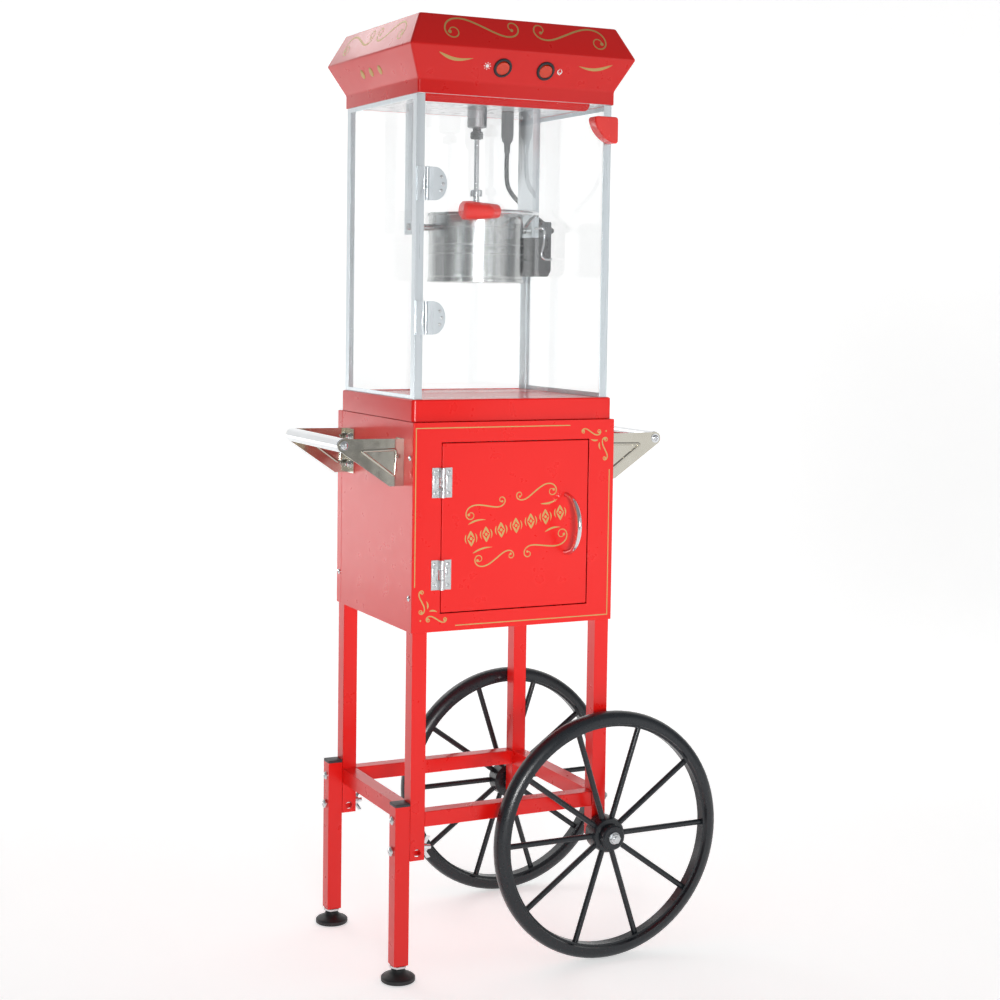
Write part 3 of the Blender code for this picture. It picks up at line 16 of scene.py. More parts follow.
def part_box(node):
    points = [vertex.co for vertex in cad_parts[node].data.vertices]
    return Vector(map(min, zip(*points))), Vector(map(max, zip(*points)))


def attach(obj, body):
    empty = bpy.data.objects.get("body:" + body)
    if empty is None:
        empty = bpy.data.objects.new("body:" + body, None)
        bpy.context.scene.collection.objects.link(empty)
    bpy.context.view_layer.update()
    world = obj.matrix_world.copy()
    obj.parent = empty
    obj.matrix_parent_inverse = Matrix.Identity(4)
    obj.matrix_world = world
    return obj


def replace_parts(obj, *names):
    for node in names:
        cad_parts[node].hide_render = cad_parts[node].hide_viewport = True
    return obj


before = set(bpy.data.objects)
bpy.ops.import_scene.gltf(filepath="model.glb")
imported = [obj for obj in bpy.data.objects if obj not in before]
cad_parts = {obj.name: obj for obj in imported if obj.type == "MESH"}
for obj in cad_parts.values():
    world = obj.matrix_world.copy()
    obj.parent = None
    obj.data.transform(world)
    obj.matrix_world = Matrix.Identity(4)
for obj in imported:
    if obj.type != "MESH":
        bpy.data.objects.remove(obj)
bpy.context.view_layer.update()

# %% [markdown]
# ## Landmarks
# A few measures are needed again and again: where the cabinet's middle is, how far its
# skins stand out, and the levels of the hood's folds.  A box round a solid gives them all.
# Reading them beats typing them, because a typed number goes stale as soon as a size moves.

# %% Landmarks from the solids
MM = 0.001
SHEET = 1.2 * MM


def mm(*sizes):
    return tuple(size * MM for size in sizes)


def middle_of(node):
    low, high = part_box(node)
    return (low + high) / 2


cabinet_low, cabinet_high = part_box("cabinet_front")
CART_X = (cabinet_low.x + cabinet_high.x) / 2
HALF_WIDTH = (cabinet_high.x - cabinet_low.x) / 2
FRONT_Y = cabinet_low.y
REAR_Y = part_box("cabinet_rear")[1].y
hood_low, hood_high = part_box("hood")
print("cart middle x", round(CART_X, 4), "cabinet front y", round(FRONT_Y, 4))

# %% [markdown]
# ## Colour and nodes
# Artists pick colours as sRGB hex, but shaders do their sums in linear light, so one
# function converts.  A second small function adds a shader node with its settings and its
# links in one go, which keeps each material's recipe short enough to read.

# %% Colour conversion and the node helper
def linear(hex_colour):
    """sRGB hex such as "C8102E" as the linear RGBA that a shader socket takes."""
    shares = [int(hex_colour[start:start + 2], 16) / 255 for start in (0, 2, 4)]
    return (*[share / 12.92 if share <= 0.04045 else ((share + 0.055) / 1.055) ** 2.4
              for share in shares], 1.0)


def add_node(tree, kind, settings=None, links=None):
    """Add a node: settings fill its sockets or options, links join sockets to outputs."""
    node = tree.nodes.new(kind)
    options = {key: value for key, value in (settings or {}).items()
               if isinstance(key, str) and hasattr(node, key)}
    for key, value in options.items():
        setattr(node, key, value)
    for key, value in (settings or {}).items():
        if key not in options:
            node.inputs[key].default_value = value
    for key, output in (links or {}).items():
        tree.links.new(output, node.inputs[key])
    return node


print("red hex CC0000 is", [round(share, 3) for share in linear("CC0000")])

# %% [markdown]
# ## One recipe for three layers
# Nearly every made surface varies in three ways: its tone drifts over centimetres, its
# gloss over millimetres, and its relief over tenths.  We build these from noise whose scale
# comes from a real size: noise with scale 500 has features about 1/500 m, or 2 mm, apart.
# A stretch squeezes the pattern along an axis, which is how rolled or brushed lines are made.

# %% The layered surface recipe
def per_metre(size_mm):
    return 1000.0 / size_mm


def start_material(name, sockets):
    made = bpy.data.materials.new(name)
    made.use_nodes = True
    shader = made.node_tree.nodes["Principled BSDF"]
    for socket, value in sockets.items():
        shader.inputs[socket].default_value = value
    return made, made.node_tree, shader


def add_layers(tree, shader, place, tones, tone_mm, gloss, gloss_mm, relief_mm, height_mm):
    """Tone, gloss and relief from noise of real sizes, all read at the same place."""
    drift = add_node(tree, "ShaderNodeTexNoise", {"Scale": per_metre(tone_mm), "Detail": 3.0},
                     {"Vector": place})
    tone = add_node(tree, "ShaderNodeMix", {"data_type": "RGBA", 6: linear(tones[0]), 7: linear(tones[1])},
                    {0: drift.outputs["Fac"]})
    tree.links.new(tone.outputs[2], shader.inputs["Base Color"])
    smear = add_node(tree, "ShaderNodeTexNoise", {"Scale": per_metre(gloss_mm), "Detail": 4.0},
                     {"Vector": place})
    rough = add_node(tree, "ShaderNodeMapRange", {"From Min": 0.3, "From Max": 0.7,
                                                  "To Min": gloss[0], "To Max": gloss[1]},
                     {"Value": smear.outputs["Fac"]})
    tree.links.new(rough.outputs["Result"], shader.inputs["Roughness"])
    grain = add_node(tree, "ShaderNodeTexNoise", {"Scale": per_metre(relief_mm), "Detail": 2.0},
                     {"Vector": place})
    bump = add_node(tree, "ShaderNodeBump", {"Strength": 1.0, "Distance": height_mm * MM},
                    {"Height": grain.outputs["Fac"]})
    tree.links.new(bump.outputs["Normal"], shader.inputs["Normal"])


def layered(name, sockets, stretch=(1, 1, 1), **layers):
    made, tree, shader = start_material(name, sockets)
    spot = add_node(tree, "ShaderNodeTexCoord")
    place = add_node(tree, "ShaderNodeMapping", {"Scale": stretch}, {"Vector": spot.outputs["Object"]})
    add_layers(tree, shader, place.outputs["Vector"], **layers)
    return made


print("2 mm orange peel needs noise scale", per_metre(2))

# %% [markdown]
# ## Red powder coat
# The sheet steel and tube are sprayed with dry polyester powder and baked until it flows
# into one glossy skin.  It never flows quite flat: a faint orange peel about 2 mm across
# stays, which breaks reflections into soft edges.  A coat layer over the pigment gives the
# pale glare that this paint shows where it is seen at a low angle.

# %% Powder coat
POWDER_COAT = layered("red_polyester_powder_coat_baked",
                      {"Coat Weight": 0.12, "Coat Roughness": 0.08, "IOR": 1.45},
                      tones=("E6120C", "E2110B"), tone_mm=80, gloss=(0.27, 0.31), gloss_mm=20,
                      relief_mm=2.0, height_mm=0.001)
print("made", POWDER_COAT.name)

# %% [markdown]
# ## Bright metals
# Five metals meet on this cart.  Extruded aluminium posts keep fine die lines along their
# length.  Zinc-plated hinges look pale and slightly cloudy.  Nickel-plated brackets and
# chromium-plated rods are nearly mirrors.  Cast zinc on the gearbox is dull and pitted.  Each
# is fully metallic, so its tone comes from its reflection and the roughness sets it apart.

# %% Aluminium, zinc, nickel and chromium
METAL = {"Metallic": 1.0}
ALUMINIUM = layered("anodised_aluminium_extruded", METAL, stretch=(1, 1, 0.02),
                    tones=("D6DEE3", "E4EAED"), tone_mm=8, gloss=(0.26, 0.38), gloss_mm=2,
                    relief_mm=0.5, height_mm=0.004)
ZINC = layered("zinc_plated_steel_stamped", METAL, tones=("C9CCCE", "DDDFE0"), tone_mm=5,
               gloss=(0.22, 0.40), gloss_mm=3, relief_mm=0.8, height_mm=0.010)
NICKEL = layered("nickel_plated_steel_polished", METAL, tones=("BDB8AA", "CBC8BE"), tone_mm=30,
                 gloss=(0.08, 0.16), gloss_mm=10, relief_mm=3.0, height_mm=0.006)
CHROME = layered("chromium_plated_steel_polished", METAL, tones=("DADDDF", "E6E8EA"), tone_mm=20,
                 gloss=(0.07, 0.15), gloss_mm=6, relief_mm=2.0, height_mm=0.001)
CAST_ZINC = layered("cast_zinc_alloy_tumbled", METAL, tones=("9FA2A5", "B4B7B9"), tone_mm=6,
                    gloss=(0.34, 0.50), gloss_mm=2, relief_mm=1.0, height_mm=0.030)
print("made", [metal.name for metal in (ALUMINIUM, ZINC, NICKEL, CHROME, CAST_ZINC)])

# %% [markdown]
# ## Spun stainless steel
# A kettle is spun from a flat disc against a turning former, and the tool leaves rings
# round its axis.  To draw rings we replace the point by its distance from the axis plus its
# height: that single number is the same all the way round, on the wall and on the lids.

# %% Spun steel
def spun_stainless():
    made, tree, shader = start_material("stainless_steel_spun", METAL)
    spot = add_node(tree, "ShaderNodeTexCoord")
    centred = add_node(tree, "ShaderNodeVectorMath", {"operation": "SUBTRACT", 1: (CART_X, 0, 0)},
                       {0: spot.outputs["Object"]})
    split = add_node(tree, "ShaderNodeSeparateXYZ", links={"Vector": centred.outputs["Vector"]})
    flat = add_node(tree, "ShaderNodeVectorMath", {"operation": "MULTIPLY", 1: (1, 1, 0)},
                    {0: centred.outputs["Vector"]})
    reach = add_node(tree, "ShaderNodeVectorMath", {"operation": "LENGTH"}, {0: flat.outputs["Vector"]})
    along = add_node(tree, "ShaderNodeMath", {"operation": "ADD"},
                     {0: reach.outputs["Value"], 1: split.outputs["Z"]})
    ring = add_node(tree, "ShaderNodeCombineXYZ", links={"Z": along.outputs["Value"]})
    add_layers(tree, shader, ring.outputs["Vector"], tones=("B9BBBB", "D8D9D8"), tone_mm=9,
               gloss=(0.16, 0.30), gloss_mm=2.5, relief_mm=0.9, height_mm=0.006)
    return made


SPUN_STEEL = spun_stainless()
print("made", SPUN_STEEL.name)

# %% [markdown]
# ## Plastics and rubber
# The wheels are moulded in black polypropylene from a mould with a fine spark-eroded grain,
# so they shine softly.  The knob and the grip come from a polished mould and stay glossy.
# Feet are soft rubber, the terminal box is nylon, and the rockers are clear red
# polycarbonate with a lamp behind, which is why a little light passes through them.

# %% Moulded parts
WHEEL_PLASTIC = layered("black_polypropylene_moulded", {"IOR": 1.49}, tones=("15191E", "1E2328"),
                        tone_mm=40, gloss=(0.24, 0.32), gloss_mm=12, relief_mm=0.9, height_mm=0.020)
RUBBER = layered("black_rubber_moulded", {"IOR": 1.52}, tones=("141517", "1E2022"), tone_mm=15,
                 gloss=(0.38, 0.55), gloss_mm=5, relief_mm=0.7, height_mm=0.020)
NYLON = layered("black_nylon_moulded", {"IOR": 1.53}, tones=("26292D", "303338"), tone_mm=12,
                gloss=(0.40, 0.52), gloss_mm=4, relief_mm=0.8, height_mm=0.020)
RED_ABS = layered("red_abs_moulded_gloss", {"IOR": 1.53, "Coat Weight": 0.3, "Coat Roughness": 0.06},
                  tones=("FA2A20", "F0231A"), tone_mm=25, gloss=(0.18, 0.28), gloss_mm=6,
                  relief_mm=3.0, height_mm=0.010)
ROCKER_RED = layered("red_polycarbonate_lit_rocker",
                     {"IOR": 1.58, "Transmission Weight": 0.25, "Emission Color": linear("FF4A1C"),
                      "Emission Strength": 0.12},
                     tones=("E0401F", "CE3216"), tone_mm=6, gloss=(0.12, 0.22), gloss_mm=3,
                     relief_mm=1.5, height_mm=0.010)
print("made", [stuff.name for stuff in (WHEEL_PLASTIC, RUBBER, NYLON, RED_ABS, ROCKER_RED)])

# %% [markdown]
# ## Clear panes, enamel and printing ink
# The case is glazed with cast acrylic.  Real acrylic lets light in from all sides, but a
# path tracer stops lamps at a refracting skin, so part of each pane is plain see-through
# (alpha) and the rest is true refraction.  The ceiling is white baked enamel.  The scrolls
# are screen-printed with bronze powder in varnish: a metal, but rough and a little mottled.

# %% Acrylic, enamel and inks
def cast_acrylic():
    made, tree, shader = start_material(
        "clear_acrylic_cast", {"Base Color": linear("F6FBFC"), "Transmission Weight": 1.0,
                               "IOR": 1.49, "Roughness": 0.02, "Alpha": 0.16})
    spot = add_node(tree, "ShaderNodeTexCoord")
    haze = add_node(tree, "ShaderNodeTexNoise", {"Scale": per_metre(45), "Detail": 3.0},
                    {"Vector": spot.outputs["Object"]})
    wiped = add_node(tree, "ShaderNodeMapRange", {"From Min": 0.35, "From Max": 0.75,
                                                  "To Min": 0.01, "To Max": 0.05},
                     {"Value": haze.outputs["Fac"]})
    tree.links.new(wiped.outputs["Result"], shader.inputs["Roughness"])
    return made


ACRYLIC = cast_acrylic()
ENAMEL = layered("white_enamel_baked", {"Coat Weight": 0.4, "Coat Roughness": 0.1},
                 tones=("E9EBEE", "F4F5F6"), tone_mm=40, gloss=(0.24, 0.34), gloss_mm=12,
                 relief_mm=2.5, height_mm=0.010)
GOLD = layered("bronze_powder_ink_screen_printed", {"Metallic": 0.35},
               tones=("BE9A55", "D0B274"), tone_mm=1.2, gloss=(0.38, 0.52), gloss_mm=1.0,
               relief_mm=0.6, height_mm=0.010)
WHITE_INK = layered("white_ink_screen_printed", {},
                    tones=("F2F2F0", "FBFBFA"), tone_mm=1.5, gloss=(0.40, 0.50), gloss_mm=1.0,
                    relief_mm=0.6, height_mm=0.008)
print("made", [stuff.name for stuff in (ACRYLIC, ENAMEL, GOLD, WHITE_INK)])

# %% [markdown]
# ## Finishing the solids that stay
# Folded and sawn metal never has a razor edge, and it is the small rounded edge that
# catches light.  We could model each one, but a Bevel modifier does it for the whole part.
# Imported solids have a separate corner for every face, so a Weld comes first, and a
# Weighted Normal last keeps the flat faces looking flat beside their rounded edges.

# %% The dressing helper
def soften(piece, edge):
    piece.modifiers.new("close_corners", "WELD").merge_threshold = 0.01 * MM
    if edge:
        bevel = piece.modifiers.new("soft_edges", "BEVEL")
        bevel.width = edge
        bevel.segments = 2
        bevel.limit_method = "ANGLE"
        bevel.angle_limit = math.radians(38)
        bevel.use_clamp_overlap = True
    piece.modifiers.new("flat_faces_stay_flat", "WEIGHTED_NORMAL").keep_sharp = False


def dress(names, material, edge_mm=0.0):
    """Give solids their finish and soft edges; their shape and place stay as they are."""
    for name in names:
        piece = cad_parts[name]
        mesh = piece.data
        if "custom_normal" in mesh.attributes:
            mesh.attributes.remove(mesh.attributes["custom_normal"])
        mesh.materials.clear()
        mesh.materials.append(material)
        mesh.shade_smooth()
        soften(piece, edge_mm * MM)


def both(pattern, *words):
    return [pattern.format(word) for word in words]


print("example of a name list:", both("rail_{}", "front", "rear"))

# %% Steelwork and sheet metal
dress(both("end_frame_{}", "left", "right") + both("rail_{}", "front", "rear"), POWDER_COAT, 1.2)
dress(both("extension_leg_{}", "front", "rear"), POWDER_COAT, 1.0)
dress(both("cabinet_side_{}", "left", "right") + both("cabinet_{}", "front", "rear", "floor"), POWDER_COAT, 0.5)
dress(["cabinet_door"], POWDER_COAT, 1.2)
dress(both("wing_bolt_{}", "front", "rear") + ["drive_shaft", "stirrer"], CHROME, 0.3)
for level in ("lower", "upper"):
    dress(both("door_hinge_" + level + "_{}_leaf", "frame", "door"), ZINC, 0.3)
    dress(both("case_hinge_" + level + "_{}_leaf", "post", "door"), ALUMINIUM, 0.3)
for end in ("left", "right"):
    dress(both("handle_bracket_" + end + "_{}", "front", "rear"), NICKEL, 0.5)
dress(both("handle_bar_{}", "left", "right"), CHROME, 0.6)
dress(["door_pull", "kettle_handle_rod"], CHROME)
print("steel dressed")

# %% Case, kettle, wheels and small parts
dress(both("case_frame_{}", "left", "right") + both("hanger_{}", "left", "right"), ALUMINIUM, 0.4)
dress(both("pane_{}", "left", "right", "rear") + ["case_door"], ACRYLIC, 0.3)
dress(["ceiling_plate"], ENAMEL, 0.3)
dress(["kettle"] + both("lid_{}", "front", "rear"), SPUN_STEEL, 0.2)
dress(["gear_motor"], CAST_ZINC, 0.5)
dress(["drive_collar", "kettle_terminal_box"], NYLON, 1.0)
dress(["kettle_lead"], RUBBER)
dress(both("wheel_{}", "front", "rear"), WHEEL_PLASTIC, 0.4)
dress(both("foot_{}", "front", "rear"), RUBBER, 0.8)
dress(both("rocker_{}", "light", "heat"), ROCKER_RED, 0.3)
dress(["case_door_knob", "kettle_grip"], RED_ABS, 0.6)
print("all carried-over solids dressed")

# %% [markdown]
# ## Tools for new pieces
# The pieces still to come are thin and small: ribbons of ink, screws, nuts, a folded hood.
# A handful of mesh builders cover them all.  Each works on a bmesh, Blender's editable
# mesh, in world metres, so a finished piece needs no moving; it only rides on a body.

# %% Mesh builders
SHARP = math.radians(32)


def make_piece(name, bm, material, body, sharp=SHARP):
    bmesh.ops.recalc_face_normals(bm, faces=bm.faces)
    mesh = bpy.data.meshes.new(name)
    bm.to_mesh(mesh)
    bm.free()
    mesh.shade_smooth()
    mesh.set_sharp_from_angle(angle=sharp)
    mesh.materials.append(material)
    piece = bpy.data.objects.new(name, mesh)
    bpy.context.scene.collection.objects.link(piece)
    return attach(piece, body)


def bridge(bm, rings, closed=False):
    """Quads between successive rings of vertices; open ends are capped."""
    pairs = list(zip(rings, rings[1:])) + ([(rings[-1], rings[0])] if closed else [])
    for ring, other in pairs:
        count = max(len(ring), len(other))
        for near in range(count):
            far = near + 1
            corners = [ring[near % len(ring)], ring[far % len(ring)],
                       other[far % len(other)], other[near % len(other)]]
            bm.faces.new(list(dict.fromkeys(corners)))
    if not closed:
        for ring in (rings[0], rings[-1]):
            if len(ring) > 2:
                bm.faces.new(ring)


def aim(direction):
    return Vector(direction).normalized().to_track_quat("Z", "Y").to_matrix()


def circle(radius, count):
    return [(radius * math.cos(2 * math.pi * k / count), radius * math.sin(2 * math.pi * k / count))
            for k in range(count)]


def turned(bm, at, out, profile, segments=32, closed=False):
    """Spin (radius, height) points round the line through at along out."""
    turn, at = aim(out), Vector(at)
    rings = [[bm.verts.new(at + turn @ Vector((x, y, height)))
              for x, y in circle(radius, segments if radius > 1e-7 else 1)] for radius, height in profile]
    bridge(bm, rings, closed)


def disc(bm, at, out, radius, low, high, crown=None, segments=32):
    """A round plate; crown is the height of its middle when it is domed."""
    turned(bm, at, out, [(0, low), (radius, low), (radius, high), (0, high if crown is None else crown)], segments)


def tube(bm, path, radius, sides=12):
    path = [Vector(point) for point in path]
    side = (path[1] - path[0]).orthogonal().normalized()
    rings = []
    for index, point in enumerate(path):
        tangent = (path[min(index + 1, len(path) - 1)] - path[max(index - 1, 0)]).normalized()
        side = (side - tangent * side.dot(tangent)).normalized()
        across = tangent.cross(side)
        rings.append([bm.verts.new(point + side * x + across * y) for x, y in circle(radius, sides)])
    bridge(bm, rings)


def smooth_path(points, steps=8):
    """A curve that passes through every given point."""
    points = [Vector(point) for point in points]
    padded = [2 * points[0] - points[1], *points, 2 * points[-1] - points[-2]]
    path = []
    for before, here, there, after in zip(padded, padded[1:], padded[2:], padded[3:]):
        for step in range(steps):
            t = step / steps
            path.append(0.5 * (2 * here + (there - before) * t
                               + (2 * before - 5 * here + 4 * there - after) * t ** 2
                               + (3 * here - before - 3 * there + after) * t ** 3))
    return [*path, points[-1]]


print("mesh builders ready")

# %% [markdown]
# ## Fasteners
# Machine screws here have a low dome with a cross recess.  Rather than cut the cross with a
# Boolean on every screw, the dome is spun from rings and the points that fall inside the
# cross are pressed down: cheap, closed, and sharp enough at this size.  Hexagon nuts are
# six-sided prisms whose corners are turned off, as a real nut's are.

# %% Screws, rivets and nuts
SUNK = 0.2 * MM


def screw_head(bm, at, out, radius, dome):
    turn, at = aim(out), Vector(at)
    slot, reach, bulge, segments = radius * 0.15, radius * 0.62, 1.12, 32
    rings = [[bm.verts.new(at + turn @ Vector((0, 0, 0.4 * dome)))]]
    for share in (0.10, 0.19, 0.30, 0.42, 0.54, 0.66, 0.80, 0.92, 1.0):
        height = dome * math.sqrt(bulge - share ** 2) / math.sqrt(bulge)
        rings.append([])
        for x, y in circle(radius * share, segments):
            pressed = min(abs(x), abs(y)) < slot and share * radius < reach
            place = Vector((x, y, height - (0.55 * dome if pressed else 0)))
            rings[-1].append(bm.verts.new(at + turn @ place))
    rings.append([bm.verts.new(at + turn @ Vector((x, y, -SUNK))) for x, y in circle(radius, segments)])
    bridge(bm, rings)


def rivet(bm, at, out, radius, dome):
    turned(bm, at, out, [(0, -SUNK), (radius, -SUNK), (radius, dome * 0.25), (radius * 0.85, dome * 0.7),
                         (radius * 0.5, dome * 0.95), (0, dome)], 24)


def stud(bm, at, out, radius, shoulder, segments):
    """A bolt's threaded end, 7 mm long, chamfered past its shoulder."""
    end = 7 * MM
    turned(bm, at, out, [(0, 0), (radius, 0), (radius, shoulder), (radius - 0.6 * MM, end), (0, end)], segments)


def hex_nut(bm, at, out, across, thick, bore):
    """Nut of a given width across flats, its corners turned down to a shoulder."""
    turn, at = aim(out), Vector(at)
    flat, corner = across / 2, across / math.sqrt(3)
    rings = []
    for height, limit in ((0, bore), (0, flat * 0.98), (0.12 * thick, corner), (0.88 * thick, corner),
                          (thick, flat * 0.96), (thick, bore)):
        sizes = [min(limit, flat if k % 2 else corner) for k in range(12)]
        rings.append([bm.verts.new(at + turn @ Vector((size * x, size * y, height)))
                      for size, (x, y) in zip(sizes, circle(1, 12))])
    bridge(bm, rings, closed=True)


print("fastener builders ready")

# %% [markdown]
# ## The hood
# The hood is folded from one sheet, its corners welded and ground round before coating.
# The plain solid has knife corners, so a new shell stands for it.  Each level of the hood is
# a rectangle with round corners, and a stack of levels is bridged like a tower of rings.
# The folds are softened by sliding two extra levels to either side of each crease.

# %% Levels of the hood
HOOD_CORNER = 3.0 * MM
FOLD = 2.4 * MM


def round_rectangle(half_x, half_y, radius, steps=5):
    points = []
    for quarter, (sign_x, sign_y) in enumerate(((1, 1), (-1, 1), (-1, -1), (1, -1))):
        for step in range(steps + 1):
            turn = math.pi / 2 * (quarter + step / steps)
            points.append((sign_x * (half_x - radius) + radius * math.cos(turn),
                           sign_y * (half_y - radius) + radius * math.sin(turn)))
    return points


def soft_corners(points, reach, steps=4):
    """Replace each inner corner of a line in space by a short curve."""
    points = [Vector(point) for point in points]
    line = [points[0]]
    for before, corner, after in zip(points, points[1:], points[2:]):
        start = corner + (before - corner).normalized() * min(reach, (before - corner).length / 2)
        end = corner + (after - corner).normalized() * min(reach, (after - corner).length / 2)
        for step in range(steps + 1):
            t = step / steps
            line.append(start * (1 - t) ** 2 + corner * 2 * t * (1 - t) + end * t ** 2)
    return [*line, points[-1]]


def rings_at(bm, levels, corner):
    return [[bm.verts.new((CART_X + x, y, level.z)) for x, y in round_rectangle(level.x, level.y, corner)]
            for level in levels]


def double_skin(bm, outer, inner):
    """Join two stacks of rings into one sheet, open at the outer stack's first ring."""
    for rings, mouth in ((outer, outer[0]), (inner, inner[-1])):
        bridge(bm, rings)
        bm.faces.remove(bm.faces.get(mouth))
    for near in range(len(outer[0])):
        far = (near + 1) % len(outer[0])
        bm.faces.new((outer[0][near], outer[0][far], inner[-1][far], inner[-1][near]))


hood_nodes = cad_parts["hood"].data.vertices
hood_levels = sorted({round(vertex.co.z, 4) for vertex in hood_nodes})


def hood_half(level):
    """Half width and half depth of the hood's skin at a level of its folds."""
    found = [vertex.co for vertex in hood_nodes if abs(vertex.co.z - level) < 0.05 * MM]
    return (max(abs(point.x - CART_X) for point in found), max(abs(point.y) for point in found))


BAND_BOTTOM, CROWN_TOP = hood_low.z, hood_high.z
RIDGE_LEVEL = next(level for level in hood_levels
                   if abs(hood_half(level)[0] - (hood_high.x - hood_low.x) / 2) < 0.05 * MM)
BAND_TOP = next(level for level in hood_levels if level > BAND_BOTTOM + 5 * MM
                and abs(hood_half(level)[0] - hood_half(round(BAND_BOTTOM, 4))[0]) < 0.05 * MM)
BAND, RIDGE, CROWN = (hood_half(level) for level in (BAND_TOP, RIDGE_LEVEL, round(CROWN_TOP, 4)))
print("band, ridge and crown half widths in mm:", [round(1000 * half[0], 1) for half in (BAND, RIDGE, CROWN)])

# %% [markdown]
# ### Holes in a curved shell
# Rockers need real openings.  A Boolean modifier subtracts a hidden cutter; we
# then keep the evaluated mesh and throw the cutter away, so the piece stays one clean mesh.

# %% Hood shell with its openings
def carve(piece, cutter_bm):
    bmesh.ops.recalc_face_normals(cutter_bm, faces=cutter_bm.faces)
    mesh = bpy.data.meshes.new("cutter")
    cutter_bm.to_mesh(mesh)
    cutter_bm.free()
    cutter = bpy.data.objects.new("cutter", mesh)
    bpy.context.scene.collection.objects.link(cutter)
    cut = piece.modifiers.new("cut", "BOOLEAN")
    cut.operation, cut.solver, cut.object = "DIFFERENCE", "EXACT", cutter
    bpy.context.view_layer.update()
    made = bpy.data.meshes.new_from_object(piece.evaluated_get(bpy.context.evaluated_depsgraph_get()))
    piece.modifiers.clear()
    piece.data = made
    bpy.data.objects.remove(cutter)
    made.shade_smooth()
    made.set_sharp_from_angle(angle=SHARP)


class Face:
    """A flat face to draw on: origin, the viewer's right, up along the face, and outward."""

    def __init__(self, origin, right, up):
        self.origin, self.right, self.up = Vector(origin), Vector(right), Vector(up).normalized()
        self.out = self.right.cross(self.up)

    def at(self, a, b, lift=0.0):
        return self.origin + self.right * a + self.up * b + self.out * lift


BAND_RISE, CROWN_RISE = RIDGE_LEVEL - BAND_TOP, CROWN_TOP - RIDGE_LEVEL
HOOD_UPPER_FRONT = Face((CART_X, -RIDGE[1], RIDGE_LEVEL), (1, 0, 0), (0, RIDGE[1] - CROWN[1], CROWN_RISE))
HOOD_LOWER_FRONT = Face((CART_X, -BAND[1], BAND_TOP), (1, 0, 0), (0, BAND[1] - RIDGE[1], BAND_RISE))
HOOD_UPPER_LEFT = Face((CART_X - RIDGE[0], 0, RIDGE_LEVEL), (0, -1, 0), (RIDGE[0] - CROWN[0], 0, CROWN_RISE))
HOOD_UPPER_RIGHT = Face((CART_X + RIDGE[0], 0, RIDGE_LEVEL), (0, 1, 0), (CROWN[0] - RIDGE[0], 0, CROWN_RISE))
HOOD_LOWER_LEFT = Face((CART_X - BAND[0], 0, BAND_TOP), (0, -1, 0), (BAND[0] - RIDGE[0], 0, BAND_RISE))
ROCKERS = [middle_of("rocker_light"), middle_of("rocker_heat")]
ROCKER_RADIUS = (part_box("rocker_light")[1].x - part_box("rocker_light")[0].x) / 2
ROCKER_UP = (ROCKERS[0] - HOOD_LOWER_FRONT.origin).dot(HOOD_LOWER_FRONT.up)
ROCKER_PLAY = 0.6 * MM


def build_hood():
    def level(half, z, skin=0.0):
        return Vector((half[0] - skin, half[1] - skin, z))

    flat = (CROWN[0] * 0.8, CROWN[1] * 0.8)
    under = CROWN_TOP - SHEET
    outside = soft_corners([level(BAND, BAND_BOTTOM), level(BAND, BAND_TOP), level(RIDGE, RIDGE_LEVEL),
                            level(CROWN, CROWN_TOP), level(flat, CROWN_TOP)], FOLD)
    inside = [level(flat, under), level(CROWN, under, SHEET), level(RIDGE, RIDGE_LEVEL, SHEET),
              level(BAND, BAND_TOP, SHEET), level(BAND, BAND_BOTTOM, SHEET)]
    bm = bmesh.new()
    double_skin(bm, rings_at(bm, outside, HOOD_CORNER), rings_at(bm, inside, HOOD_CORNER - SHEET))
    hood = make_piece("hood_shell", bm, POWDER_COAT, "root")
    cutter, reach = bmesh.new(), 9 * MM
    for rocker in ROCKERS:
        disc(cutter, HOOD_LOWER_FRONT.at(rocker.x - CART_X, ROCKER_UP), HOOD_LOWER_FRONT.out,
             ROCKER_RADIUS + ROCKER_PLAY, -reach, reach, segments=40)
    carve(hood, cutter)
    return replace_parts(hood, "hood")


hood_shell = build_hood()
print("hood shell faces:", len(hood_shell.data.polygons))

# %% [markdown]
# ## The base tray
# The tray that catches popped corn is pressed from one sheet, so its top edge rolls over in
# a soft radius all round.  The same tower of rings builds it, with a bigger corner.

# %% Base tray
def build_tray():
    low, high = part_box("base_tray")
    half_x, half_y, mid_y = (high.x - low.x) / 2, (high.y - low.y) / 2, (high.y + low.y) / 2
    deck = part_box("case_frame_left")[0].z - 0.3 * MM
    nip, roll, rim = 0.5 * MM, 2.3 * MM, 2.6 * MM

    def level(inset, z):
        return Vector((half_x - inset, half_y - inset, z))

    outside = [level(nip, low.z), level(0, low.z + nip)]
    outside += [level(roll * (1 - math.cos(turn)), high.z - roll * (1 - math.sin(turn)))
                for turn in (math.pi / 2 * k / 6 for k in range(7))]
    outside += [level(rim, high.z - 0.1 * MM), level(rim, deck)]
    inside = [level(rim + SHEET, deck - SHEET), level(SHEET, deck - SHEET), level(SHEET, low.z)]
    bm = bmesh.new()
    double_skin(bm, rings_at(bm, outside, 5 * MM), rings_at(bm, inside, 4 * MM))
    bmesh.ops.translate(bm, verts=bm.verts, vec=(0, mid_y, 0))
    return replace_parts(make_piece("tray_shell", bm, POWDER_COAT, "root"), "base_tray")


tray_shell = build_tray()
print("tray shell faces:", len(tray_shell.data.polygons))

